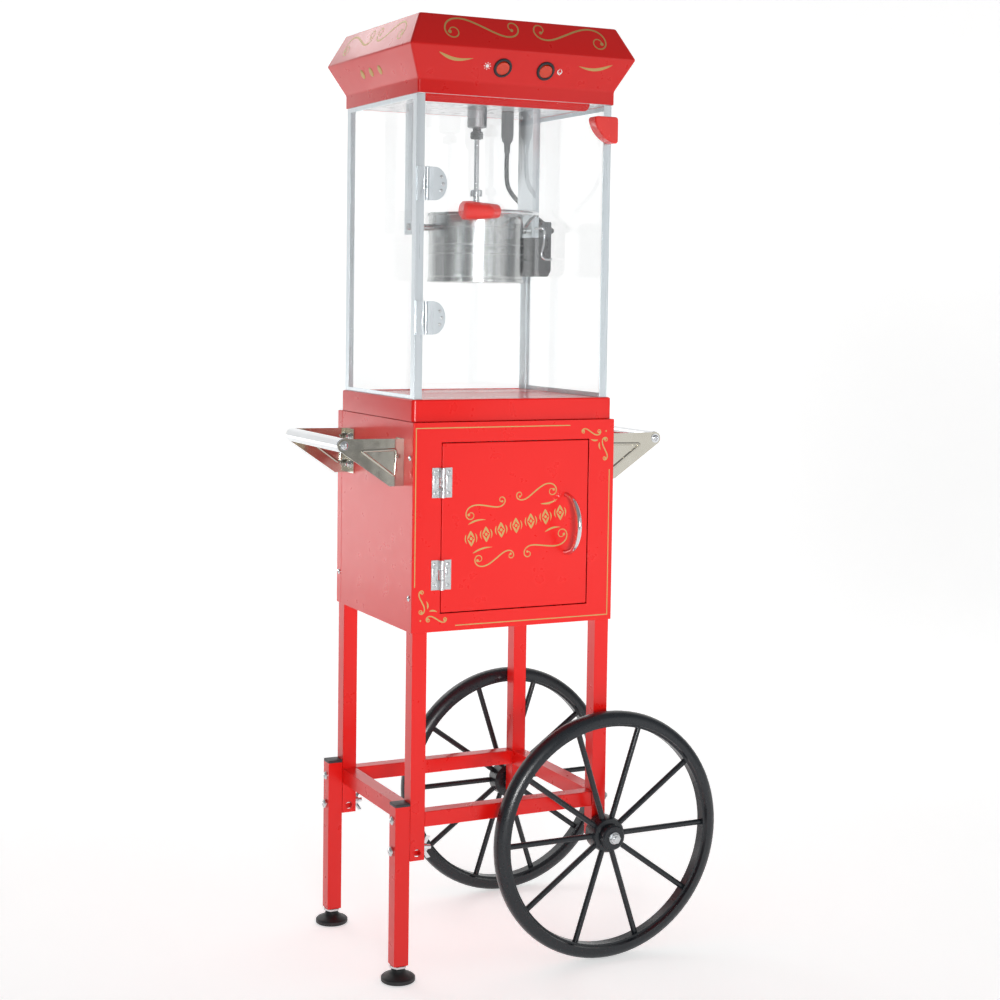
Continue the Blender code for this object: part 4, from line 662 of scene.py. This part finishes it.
# %% [markdown]
# ## Gold scrollwork
# Fairground scrolls are S-curves that wind up at both ends.  A drawing by hand is possible,
# but there is a rule behind the shape: the pen turns faster the further it is from the
# middle.  Adding up small steps of that turning pen gives the whole curve, and we then
# shrink, turn and shift it so that its two eyes land where the sign writer wants them.
# Each stroke is a real ribbon of ink, a tenth of a millimetre proud and thin at its ends.

# %% Strokes of ink
INK = 0.12 * MM


def stroke(bm, face, points, widths):
    """A ribbon with a slightly crowned top along points on a face."""
    rings = []
    for index, (a, b) in enumerate(points):
        before, after = points[max(index - 1, 0)], points[min(index + 1, len(points) - 1)]
        along = Vector((after[0] - before[0], after[1] - before[1], 0)).normalized()
        across = (-along.y * widths[index] / 2, along.x * widths[index] / 2)
        rings.append([bm.verts.new(face.at(a + across[0] * side, b + across[1] * side, lift))
                      for side, lift in ((-1, -INK), (1, -INK), (1, INK * 0.7), (0, INK), (-1, INK * 0.7))])
    bridge(bm, rings)


def scroll_line(start, end, turns, arms, flip=1, steps=60, stem=1.7):
    """S-curve between two eyes; turns and arms give each end's winding and length."""
    def arm(count, length):
        spot, line = Vector((0, 0)), [Vector((0, 0))]
        for step in range(steps):
            turn = 2 * math.pi * count * ((step + 0.5) / steps) ** (stem + 1)
            spot = spot + Vector((math.cos(turn), math.sin(turn))) * length / steps
            line.append(spot)
        return line
    back = [-point for point in arm(turns[0], arms[0])]
    raw = [*back[::-1], *arm(turns[1], arms[1])[1:]]
    if flip < 0:
        raw = [Vector((point.x, -point.y)) for point in raw]
    run, goal = raw[-1] - raw[0], Vector(end) - Vector(start)
    size, turn = goal.length / run.length, math.atan2(goal.y, goal.x) - math.atan2(run.y, run.x)
    spin = Matrix.Rotation(turn, 2)
    return [Vector(start) + spin @ (point - raw[0]) * size for point in raw]


def draw_scroll(bm, face, start, end, width, turns=(1.35, 1.05), arms=(1.0, 0.8), flip=1):
    line = scroll_line(start, end, turns, arms, flip)
    last = len(line) - 1
    widths = [width * (0.35 + 0.65 * math.sin(math.pi * (0.12 + 0.76 * index / last)) ** 1.5)
              for index in range(last + 1)]
    stroke(bm, face, line, widths)
    for eye, radius in ((line[0], width), (line[-1], width * 0.85)):
        turned(bm, face.at(*eye), face.out, [(0, -INK), (radius, -INK), (radius, INK * 0.9),
                                             (radius * 0.6, INK * 1.2), (0, INK * 1.3)], 20)


def draw_leaf(bm, face, start, end, sag, width, steps=18):
    """A crescent brush stroke that swells in its middle."""
    start, end = Vector(start), Vector(end)
    normal = Vector((-(end - start).y, (end - start).x)).normalized()
    shares = [k / steps for k in range(steps + 1)]
    points = [start.lerp(end, share) + normal * sag * math.sin(math.pi * share) for share in shares]
    widths = [max(INK, width * math.sin(math.pi * share ** 0.8) ** 0.8) for share in shares]
    stroke(bm, face, points, widths)


def draw_line(bm, face, start, end, width):
    stroke(bm, face, [Vector(start), Vector(end)], [width, width])


print("ink tools ready")

# %% Scrolls on the hood
def build_hood_scrolls():
    bm = bmesh.new()
    front = ((-103, 20), (-16, 29), 1), ((112, 20), (25, 29), -1)
    side = ((-96, 19), (-16, 28), 1), ((96, 19), (16, 28), -1)
    for face, pair, width in ((HOOD_UPPER_FRONT, front, 2.5), (HOOD_UPPER_LEFT, side, 3.0),
                              (HOOD_UPPER_RIGHT, side, 3.0)):
        for start, end, flip in pair:
            draw_scroll(bm, face, mm(*start), mm(*end), width * MM, arms=(1.25, 0.85), flip=flip)
    for start, end, sag in (((-119, 36), (-71, 31), -5.5), ((126, 36), (78, 31), 5.5)):
        draw_leaf(bm, HOOD_LOWER_FRONT, mm(*start), mm(*end), sag * MM, 4.2 * MM)
    return make_piece("hood_scrolls", bm, GOLD, "root")


hood_scrolls = build_hood_scrolls()
print("hood scroll faces:", len(hood_scrolls.data.polygons))

# %% [markdown]
# ### Pinstripe and corner pieces on the cabinet
# A single gold line runs round the cabinet's front and stops short at two opposite corners,
# where a spray of two scrolls, two leaves and a dot fills the gap.  The second corner is the
# first one turned half round about the panel's middle, so it is drawn by the same function.

# %% Cabinet pinstripe and corners
CABINET_FACE = Face((CART_X, FRONT_Y, cabinet_low.z), (1, 0, 0), (0, 0, 1))
PANEL_HEIGHT = cabinet_high.z - cabinet_low.z
STRIPE_LEFT, STRIPE_RIGHT = 3.6 * MM - HALF_WIDTH, HALF_WIDTH - 6.2 * MM
STRIPE_BOTTOM, STRIPE_TOP = 6.8 * MM, PANEL_HEIGHT - 7.1 * MM
STRIPE_WIDTH = 1.25 * MM


def build_corner(bm, place):
    """place turns (in from the right edge, down from the top) into panel coordinates."""
    for start, end, flip in (((22, 17), (45.5, 14.5), 1), ((13.5, 26), (12.5, 51), -1)):
        draw_scroll(bm, CABINET_FACE, place(*start), place(*end), 1.65 * MM, (1.2, 1.1), (1.0, 0.8), flip)
    for start, end, sag in (((24, 27), (35, 25.5), 1.2), ((21.5, 30), (20, 40), -1.2)):
        draw_leaf(bm, CABINET_FACE, place(*start), place(*end), sag * MM, 2.2 * MM)
    disc(bm, CABINET_FACE.at(*place(12.0, 15.5)), CABINET_FACE.out, 1.1 * MM, -INK, INK, INK * 1.3, 20)


def build_pinstripe():
    bm = bmesh.new()
    half = STRIPE_WIDTH / 2
    for start, end in (((STRIPE_LEFT, STRIPE_TOP), (STRIPE_LEFT, 58 * MM)),
                       ((STRIPE_LEFT - half, STRIPE_TOP), (78 * MM, STRIPE_TOP)),
                       ((STRIPE_RIGHT, STRIPE_BOTTOM), (STRIPE_RIGHT, PANEL_HEIGHT - 66 * MM)),
                       ((STRIPE_RIGHT + half, STRIPE_BOTTOM), (-83 * MM, STRIPE_BOTTOM))):
        draw_line(bm, CABINET_FACE, start, end, STRIPE_WIDTH)
    build_corner(bm, lambda a, b: (HALF_WIDTH - a * MM, PANEL_HEIGHT - b * MM))
    build_corner(bm, lambda a, b: (a * MM - HALF_WIDTH, b * MM))
    return make_piece("cabinet_pinstripe", bm, GOLD, "root")


pinstripe = build_pinstripe()
print("pinstripe faces:", len(pinstripe.data.polygons))

# %% [markdown]
# ### The door's emblem
# Four scrolls and four leaves frame a row of seven upright ornaments that climbs across the
# door.  The ornaments are plain: a tall lozenge with a bead in it and a small leaf at each
# side.  They are laid out along a slanted baseline by one loop, and they belong to the door,
# so the piece rides on the door's body and swings with it.

# %% Door emblem
door_low, door_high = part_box("cabinet_door")
DOOR_FACE = Face(((door_low.x + door_high.x) / 2, door_low.y, door_low.z), (1, 0, 0), (0, 0, 1))


def lozenge(bm, face, centre, wide, tall, width, lean):
    turn = Matrix.Rotation(lean, 2)

    def corner(a, b):
        return centre + turn @ Vector((a, b))
    sides = [corner(0, tall / 2), corner(wide / 2, 0), corner(0, -tall / 2), corner(-wide / 2, 0)]
    for start, end in zip(sides, sides[1:] + sides[:1]):
        draw_leaf(bm, face, start, end, -0.6 * MM, width)
    disc(bm, face.at(*centre), face.out, 1.9 * MM, -INK, INK, INK * 1.4, 24)
    for side in (-1, 1):
        draw_leaf(bm, face, corner(side * wide * 0.62, tall * 0.30), corner(side * wide * 0.62, -tall * 0.30),
                  side * 1.6 * MM, 1.6 * MM)


def build_emblem():
    bm = bmesh.new()
    lean, count = math.radians(12.5), 7
    start, end = Vector(mm(-63.5, 92.5)), Vector(mm(64, 121))
    for index in range(count):
        centre = start.lerp(end, index / (count - 1))
        lozenge(bm, DOOR_FACE, centre, 10.5 * MM, 20 * MM, 2.6 * MM, lean * 0.4)
    swirls = (((-67, 123), (-20, 138.5), 1), ((54, 151.5), (5, 144), -1),
              ((-54, 64.0), (-7, 70.5), -1), ((70, 92.5), (17, 72), 1))
    for eye, tail, flip in swirls:
        draw_scroll(bm, DOOR_FACE, Vector(eye) * MM, Vector(tail) * MM, 1.75 * MM, (1.25, 1.1), (1.2, 0.8), flip)
    leaves = (((-68, 110.5), (-43, 116), 1), ((35, 133.5), (60, 139), -1),
              ((-61, 73.5), (-33, 80.5), 1), ((42, 96.5), (65, 102), 1))
    for foot, tip, side in leaves:
        draw_leaf(bm, DOOR_FACE, Vector(foot) * MM, Vector(tip) * MM, side * 2.2 * MM, 2.3 * MM)
    return make_piece("door_emblem", bm, GOLD, "cabinet_door_leaf")


door_emblem = build_emblem()
print("emblem faces:", len(door_emblem.data.polygons))

# %% [markdown]
# ## Switches, symbols and vents
# Each round rocker snaps into a black bezel with a raised rim.  In place of words, the
# lamp switch has a printed sun and the kettle switch a printed flame, shapes anyone can read.
# Three oval vents on the hood's left side are closed by brass-coloured domed plugs.

# %% Bezels and symbols
def build_bezels():
    bm = bmesh.new()
    bore = ROCKER_RADIUS + 0.25 * MM
    profile = [(bore, -4 * MM), (bore + 0.3 * MM, -4 * MM), (bore + 0.3 * MM, 0.05 * MM), mm(12.4, 0.05),
               mm(12.5, 0.9), mm(11.6, 2.2), mm(10.4, 2.7), mm(9.6, 2.5), (bore, 1.4 * MM)]
    for rocker in ROCKERS:
        turned(bm, HOOD_LOWER_FRONT.at(rocker.x - CART_X, ROCKER_UP), HOOD_LOWER_FRONT.out, profile, 56, True)
    return make_piece("switch_bezels", bm, NYLON, "root", sharp=math.radians(50))


def build_symbols():
    bm = bmesh.new()
    face = HOOD_LOWER_FRONT
    sun = Vector((ROCKERS[0].x - CART_X - 21.5 * MM, ROCKER_UP + 1 * MM))
    disc(bm, face.at(*sun), face.out, 2.3 * MM, -INK, INK, INK * 1.2)
    for ray in circle(MM, 8):
        draw_line(bm, face, sun + Vector(ray) * 3.2, sun + Vector(ray) * 5.0, 0.9 * MM)
    flame = Vector((ROCKERS[1].x - CART_X + 20.5 * MM, ROCKER_UP))
    for tall, bulge in ((4.5, 2.9), (0.2, 1.2)):
        for side in (-1, 1):
            draw_leaf(bm, face, flame + Vector(mm(0, -4)), flame + Vector(mm(side * 0.2, tall)),
                      -side * bulge * MM, 1.3 * MM)
    return make_piece("switch_symbols", bm, WHITE_INK, "root")


VENT_MIDDLE, VENT_PITCH, VENT_PLUG = -7.5 * MM, 29.4 * MM, (5.4, 6.2)


def build_vents():
    bm = bmesh.new()
    up = BAND_RISE / 2 / HOOD_LOWER_LEFT.up.z
    for step in (-1, 0, 1):
        across = VENT_MIDDLE + step * VENT_PITCH
        bridge(bm, [[bm.verts.new(HOOD_LOWER_LEFT.at(across + VENT_PLUG[0] * x, up + VENT_PLUG[1] * y, lift * MM))
                     for x, y in circle(share * MM, 32)]
                    for share, lift in ((1.0, -0.3), (1.0, 0.25), (0.86, 0.6), (0.62, 0.75), (0.30, 0.85))])
    return make_piece("vent_plugs", bm, GOLD, "root", sharp=math.radians(50))


bezels, symbols, vent_plugs = build_bezels(), build_symbols(), build_vents()
print("switch and vent pieces:", bezels.name, symbols.name, vent_plugs.name)

# %% [markdown]
# ## Fasteners in their places
# Screws hold the cabinet's skins, the door's hinges and the case's hinges.  A screw on a
# hinge leaf belongs to that leaf's body, or it would hang in the air when the door opens.

# %% Cabinet, leg and hinge screws
PANEL_SCREW = mm(3.6, 2.2)      # radius and dome


def build_cabinet_screws():
    bm = bmesh.new()
    inset, up, down = 9.5 * MM, cabinet_low.z + 43 * MM, cabinet_high.z - 45 * MM
    for side in (-1, 1):
        for y, z in ((FRONT_Y + inset, down), (FRONT_Y + inset, up), (REAR_Y - inset, up), (REAR_Y - inset, down)):
            screw_head(bm, (CART_X + side * HALF_WIDTH, y, z), (side, 0, 0), *PANEL_SCREW)
    for z in (cabinet_low.z + 40 * MM, cabinet_high.z - 40 * MM):
        for side in (-1, 1):
            screw_head(bm, (CART_X + side * (HALF_WIDTH - 12 * MM), REAR_Y, z), (0, 1, 0), *PANEL_SCREW)
    return make_piece("cabinet_screws", bm, CHROME, "root")


def build_frame_bolts():
    bm = bmesh.new()
    right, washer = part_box("end_frame_right")[1].x, 1 * MM
    for row in ("front", "rear"):
        low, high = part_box(f"extension_leg_{row}")
        y = (low.y + high.y) / 2
        screw_head(bm, (low.x, y, high.z - 22 * MM), (-1, 0, 0), *mm(5.4, 3.4))
        wing = middle_of(f"wing_bolt_{row}").z
        screw_head(bm, (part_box(f"wing_bolt_{row}")[0].x + 2.6 * MM, y, wing), (-1, 0, 0), *mm(6.0, 3.4))
        rail = middle_of(f"rail_{row}").z
        disc(bm, (right, y, rail), (1, 0, 0), 6.5 * MM, 0, washer)
        hex_nut(bm, (right + washer, y, rail), (1, 0, 0), *mm(10, 4.5, 2.9))
        stud(bm, (right + washer, y, rail), (1, 0, 0), *mm(2.9, 6.2), 24)
    return make_piece("frame_bolts", bm, ZINC, "root")


def build_hinge_screws():
    """Two screws in each leaf, and the long panel pressed into the leaf between them."""
    for body, side in (("root", "frame"), ("cabinet_door_leaf", "door")):
        bm = bmesh.new()
        for level in ("lower", "upper"):
            low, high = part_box(f"door_hinge_{level}_{side}_leaf")
            x = low.x + 4.6 * MM if side == "frame" else high.x - 4.6 * MM
            face, middle = high.y - 1.0 * MM, (low.z + high.z) / 2
            for z in (low.z + 5.5 * MM, high.z - 5.5 * MM):
                screw_head(bm, (x, face, z), (0, -1, 0), *mm(2.3, 0.9))
            wide, tall = 3.4 * MM, (high.z - low.z) / 2 - 10 * MM
            rings = [[bm.verts.new((x + a * (wide - inset), face + depth, middle + b * (tall - inset)))
                      for a, b in ((-1, -1), (1, -1), (1, 1), (-1, 1))]
                     for inset, depth in (mm(0, 0.1), mm(0, -0.2), mm(0.5, -0.5))]
            bridge(bm, rings)
        make_piece(f"door_hinge_screws_{side}", bm, ZINC, body)


def build_case_rivets():
    bm = bmesh.new()
    for level in ("lower", "upper"):
        low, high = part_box(f"case_hinge_{level}_door_leaf")
        for inset, dz in ((8.0, -8.5), (5.5, 0), (8.0, 8.5)):
            rivet(bm, (high.x - inset * MM, high.y - 1.0 * MM, (low.z + high.z) / 2 + dz * MM), (0, -1, 0),
                  *mm(2.2, 0.9))
    make_piece("case_hinge_rivets", bm, ZINC, "case_door_leaf")


cabinet_screws, frame_bolts = build_cabinet_screws(), build_frame_bolts()
build_hinge_screws()
build_case_rivets()
print("screws and rivets placed")

# %% [markdown]
# ## Side handles
# Each bracket is a stamped plate whose middle is stiffened by a pressed triangular bead.
# A round rod bent round the triangle and sunk half into the plate stands for it, once on
# each face.  A screw closes the bar's end, and nuts on studs hold the flange to the cabinet.

# %% Bracket beads, nose screws and flange nuts
def round_triangle(corners, share=0.10, steps=5):
    loop = []
    for before, corner, after in zip(corners[-1:] + corners[:-1], corners, corners[1:] + corners[:1]):
        start, end = corner.lerp(before, share), corner.lerp(after, share)
        loop += [start * (1 - t) ** 2 + corner * 2 * t * (1 - t) + end * t ** 2
                 for t in (k / steps for k in range(steps + 1))]
    return loop + loop[:2]


def build_bracket_details():
    beads, fixings = bmesh.new(), bmesh.new()
    thick, washer, flange_washer = mm(1.5, 0.8, 0.9)
    for end, side in (("left", -1), ("right", 1)):
        bar = middle_of(f"handle_bar_{end}")
        wall = CART_X + side * HALF_WIDTH
        for row, out in (("front", -1), ("rear", 1)):
            low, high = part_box(f"handle_bracket_{end}_{row}")
            face = low.y if out < 0 else high.y
            loop = round_triangle([Vector((wall + side * across * MM, face, low.z + up * MM))
                                   for across, up in ((58.5, 45.5), (10.5, 46.5), (13, 12.5))])
            for shift in (0.0, -out * thick):
                tube(beads, [point + Vector((0, shift, 0)) for point in loop], 1.9 * MM, 12)
            disc(fixings, (bar.x, face, bar.z), (0, out, 0), 6.0 * MM, 0, washer)
            screw_head(fixings, (bar.x, face + out * washer, bar.z), (0, out, 0), *mm(4.6, 2.0))
            for z in (low.z + 12 * MM, high.z - 12 * MM):
                spot = Vector((wall + side * 1.8 * MM, face - out * 12 * MM, z))
                disc(fixings, spot, (side, 0, 0), 5.8 * MM, 0, flange_washer)
                hex_nut(fixings, spot + Vector((side * flange_washer, 0, 0)), (side, 0, 0), *mm(8, 3.4, 2.4))
                stud(fixings, spot, (side, 0, 0), *mm(2.4, 6.4), 20)
    beads = make_piece("bracket_beads", beads, NICKEL, "root", sharp=math.radians(60))
    return beads, make_piece("handle_fixings", fixings, CHROME, "root")


bracket_beads, handle_fixings = build_bracket_details()
print("handle details:", bracket_beads.name, handle_fixings.name)

# %% [markdown]
# ## Axles, leg caps and foot nuts
# A threaded axle holds each wheel between washers and hexagon nuts.  The plain solid has
# round nuts, so a proper bolt stands for it.  Black caps close the tops of the extension
# legs, and a thin lock nut shows between each leg and its rubber foot.

# %% Axles
def build_axle(row, side):
    low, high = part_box(f"axle_bolt_{row}")
    x, z = (low.x + high.x) / 2, (low.z + high.z) / 2
    near, far = (high.y, low.y) if side < 0 else (low.y, high.y)
    bore, nut = mm(4, 12.4)
    leg_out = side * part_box("end_frame_right")[1].y
    leg_in = leg_out - side * 20.6 * MM
    hub_in, hub_out = sorted((abs(edge.y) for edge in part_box(f"wheel_{row}")))
    hub_in, hub_out = side * hub_in, side * hub_out
    out, clear = (0, side, 0), side * 0.2 * MM
    bm = bmesh.new()
    turned(bm, (x, 0, z), (0, 1, 0), [(0, near), (3.6 * MM, near), (bore, near + side * 0.4 * MM),
                                      (bore, far - side * 0.6 * MM), (3.4 * MM, far), (0, far)], 28)
    hex_nut(bm, (x, leg_in - side * 5.8 * MM, z), out, nut, 5.6 * MM, bore)
    spacer = abs(hub_in - leg_out) - 0.5 * MM
    for start, radius, thick in ((leg_out, 9 * MM, spacer), (hub_out, 7.8 * MM, 1 * MM)):
        turned(bm, (x, start + clear, z), out, [(bore, 0), (radius, 0), (radius, thick), (bore, thick)], 36, True)
    hex_nut(bm, (x, hub_out + clear + side * 1 * MM, z), out, nut, 4.4 * MM, bore)
    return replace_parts(make_piece(f"axle_with_nuts_{row}", bm, ZINC, "root"), f"axle_bolt_{row}")


axles = [build_axle("front", -1), build_axle("rear", 1)]
print("axles:", [axle.name for axle in axles])


# %% Leg caps and foot nuts
def build_leg_trim():
    caps, nuts = bmesh.new(), bmesh.new()
    for row in ("front", "rear"):
        low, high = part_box(f"extension_leg_{row}")
        x, y, half = (low.x + high.x) / 2, (low.y + high.y) / 2, (high.x - low.x) / 2 + 0.25 * MM
        bridge(caps, [[caps.verts.new((x + a, y + b, high.z + rise))
                       for a, b in round_rectangle(half - inset, half - inset, 1.4 * MM, 4)]
                      for inset, rise in (mm(0, -3.2), mm(0, -0.4), mm(0.35, 0.1), mm(1.0, 0.3))])
        hex_nut(nuts, (x, y, low.z - 3.4 * MM), (0, 0, 1), *mm(21, 3.2, 9.6))
    return make_piece("leg_caps", caps, NYLON, "root"), make_piece("foot_lock_nuts", nuts, ZINC, "root")


leg_caps, foot_nuts = build_leg_trim()
print("leg trim:", leg_caps.name, foot_nuts.name)

# %% [markdown]
# ## Inside the case
# The case door shuts against a folded lip under the hood, painted red.  The lip belongs to
# a white plate, so a thin red cover slips over it.  Beside the kettle hangs a bent latch
# lever, and rivets fix the two arms near the ceiling.

# %% Door stop, lever and arm rivets
def build_door_stop():
    low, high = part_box("ceiling_plate")
    lip = [vertex.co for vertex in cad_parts["ceiling_plate"].data.vertices if vertex.co.z < high.z - 3 * MM]
    skin, side_skin, radius = mm(0.1, 0.12, 9.0)
    left, right = min(p.x for p in lip) - skin, max(p.x for p in lip) + skin
    front, back = min(p.y for p in lip) - side_skin, max(p.y for p in lip) + side_skin
    bottom, top = low.z - skin, high.z - 1.6 * MM
    outline = [(left, top), (left, bottom)]
    outline += [(right - radius * (1 - math.sin(turn)), bottom + radius * (1 - math.cos(turn)))
                for turn in (math.pi / 2 * k / 10 for k in range(11))]
    outline.append((right, top))
    bm = bmesh.new()
    bridge(bm, [[bm.verts.new((x, y, z)) for x, z in outline] for y in (front, back)])
    return make_piece("door_stop_cover", bm, POWDER_COAT, "root")


def build_lever():
    low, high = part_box("hanger_right")
    corner = Vector((high.x + 6.5 * MM, 0, low.z + 10 * MM))
    route = ((-16.5, -19.5, 2), (-2, -24, 2.5), (0, -25.5, -3), (-1, -25.5, -18), (-4, -25.5, -32),
             (0, -25.5, -38), (12, -25.5, -39))
    bm = bmesh.new()
    tube(bm, smooth_path([corner + Vector(mm(*point)) for point in route]), 1.7 * MM, 12)
    return make_piece("kettle_latch_lever", bm, CHROME, "root", sharp=math.radians(60))


def build_arm_fixings():
    bm = bmesh.new()
    sheet = 1.5 * MM
    for end, side in (("left", -1), ("right", 1)):
        low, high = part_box(f"hanger_{end}")
        inner = high.x if side < 0 else low.x
        for y in mm(-13, 13):
            for x, out in ((inner + side * sheet, side), (inner, -side)):
                rivet(bm, (x, y, high.z - 9 * MM), (out, 0, 0), *mm(3.0, 1.6))
    return make_piece("arm_rivets", bm, ZINC, "root")


door_stop, latch_lever, arm_rivets = build_door_stop(), build_lever(), build_arm_fixings()
print("case details:", door_stop.name, latch_lever.name, arm_rivets.name)

# %% [markdown]
# ## Stage and light
# A product stands on a sweep in a studio: a floor that curves up into the wall, so no horizon
# shows behind it.  The paper glows a little, as if lit from below, so it stays white beside
# a well-lit cart.  A soft panel near the camera and a narrow beam give the front its strong
# red, and a large panel on the right lights the wheels and posts.  Two panels behind are
# mirrored in the left-hand sides and the hood as a pale glare, and a dim sky fills in.

# %% Sweep
def build_sweep():
    front, back, radius, top, half_width = -2.4, 1.6, 1.2, 4.5, 6.0
    profile = [(front, 0.0), (back, 0.0)]
    profile += [(back + radius * math.sin(turn), radius * (1 - math.cos(turn))) for turn in
                (math.pi / 2 * k / 16 for k in range(1, 17))]
    profile.append((back + radius, top))
    spin = Matrix.Rotation(math.radians(-26), 3, "Z")
    bm = bmesh.new()
    rings = [[bm.verts.new(spin @ Vector((across, run, height - 0.4 * MM))) for run, height in profile]
             for across in (-half_width, half_width)]
    for near in range(len(profile) - 1):
        bm.faces.new((rings[0][near], rings[1][near], rings[1][near + 1], rings[0][near + 1]))
    mesh = bpy.data.meshes.new("studio_sweep")
    bm.to_mesh(mesh)
    bm.free()
    mesh.shade_smooth()
    mesh.materials.append(layered(
        "matt_white_paper_lit",
        {"Specular IOR Level": 0.2, "Emission Color": linear("FFFFFF"), "Emission Strength": 0.50},
        tones=("F4F4F3", "F8F8F7"), tone_mm=400, gloss=(0.7, 0.8), gloss_mm=50, relief_mm=4, height_mm=0.02))
    sweep = bpy.data.objects.new("studio_sweep", mesh)
    bpy.context.scene.collection.objects.link(sweep)
    return sweep


sweep = build_sweep()
print("sweep faces:", len(sweep.data.polygons))


# %% Lights, sky and camera
def add_panel(name, place, target, size, power, spread=180):
    light = bpy.data.lights.new(name, "AREA")
    light.shape, light.size, light.size_y, light.energy = "RECTANGLE", size[0], size[1], power
    light.spread = math.radians(spread)
    lamp = bpy.data.objects.new(name, light)
    lamp.location = place
    lamp.rotation_mode = "QUATERNION"
    lamp.rotation_quaternion = (Vector(target) - Vector(place)).to_track_quat("-Z", "Y")
    bpy.context.scene.collection.objects.link(lamp)


add_panel("front_softbox", (-1.2, -3.3, 1.1), (0, 0, 0.6), (1.6, 1.8), 4)
add_panel("front_beam", (-1.0, -3.4, 0.8), (0.02, -0.13, 0.58), (0.6, 0.6), 1.65, 24)
add_panel("right_front_softbox", (2.0, -2.9, 1.0), (0, 0, 0.8), (1.9, 2.2), 10)
add_panel("left_rear_strip", (-1.35, 2.65, 0.26), (-0.15, 0, 0.5), (1.6, 0.5), 3.7)
add_panel("top_rear_softbox", (-0.6, 2.9, 2.75), (-0.1, 0, 1.1), (1.6, 1.0), 11)

sky = bpy.data.worlds.new("white_studio")
sky.use_nodes = True
sky.node_tree.nodes["Background"].inputs["Color"].default_value = linear("FCFDFF")
sky.node_tree.nodes["Background"].inputs["Strength"].default_value = 0.29
bpy.context.scene.world = sky
bpy.context.scene.view_settings.view_transform = "Standard"

YAW, PITCH, ROLL = math.radians(26.14), math.radians(3.52), math.radians(0.81)
ahead = Vector((math.sin(YAW) * math.cos(PITCH), math.cos(YAW) * math.cos(PITCH), -math.sin(PITCH)))
right = Vector((math.cos(YAW), -math.sin(YAW), 0))
above = right.cross(ahead)
tilted_right = right * math.cos(ROLL) + above * math.sin(ROLL)
tilted_up = above * math.cos(ROLL) - right * math.sin(ROLL)
camera = bpy.data.objects.new("camera", bpy.data.cameras.new("camera"))
camera.data.lens, camera.data.sensor_width, camera.data.shift_y = 65.22, 36.0, -0.092
camera.matrix_world = Matrix((tilted_right, tilted_up, -ahead)).transposed().to_4x4()
camera.location = (-1.06950, -2.19753, 0.87034)
bpy.context.scene.collection.objects.link(camera)
bpy.context.scene.camera = camera
print("camera at", [round(part, 3) for part in camera.location])
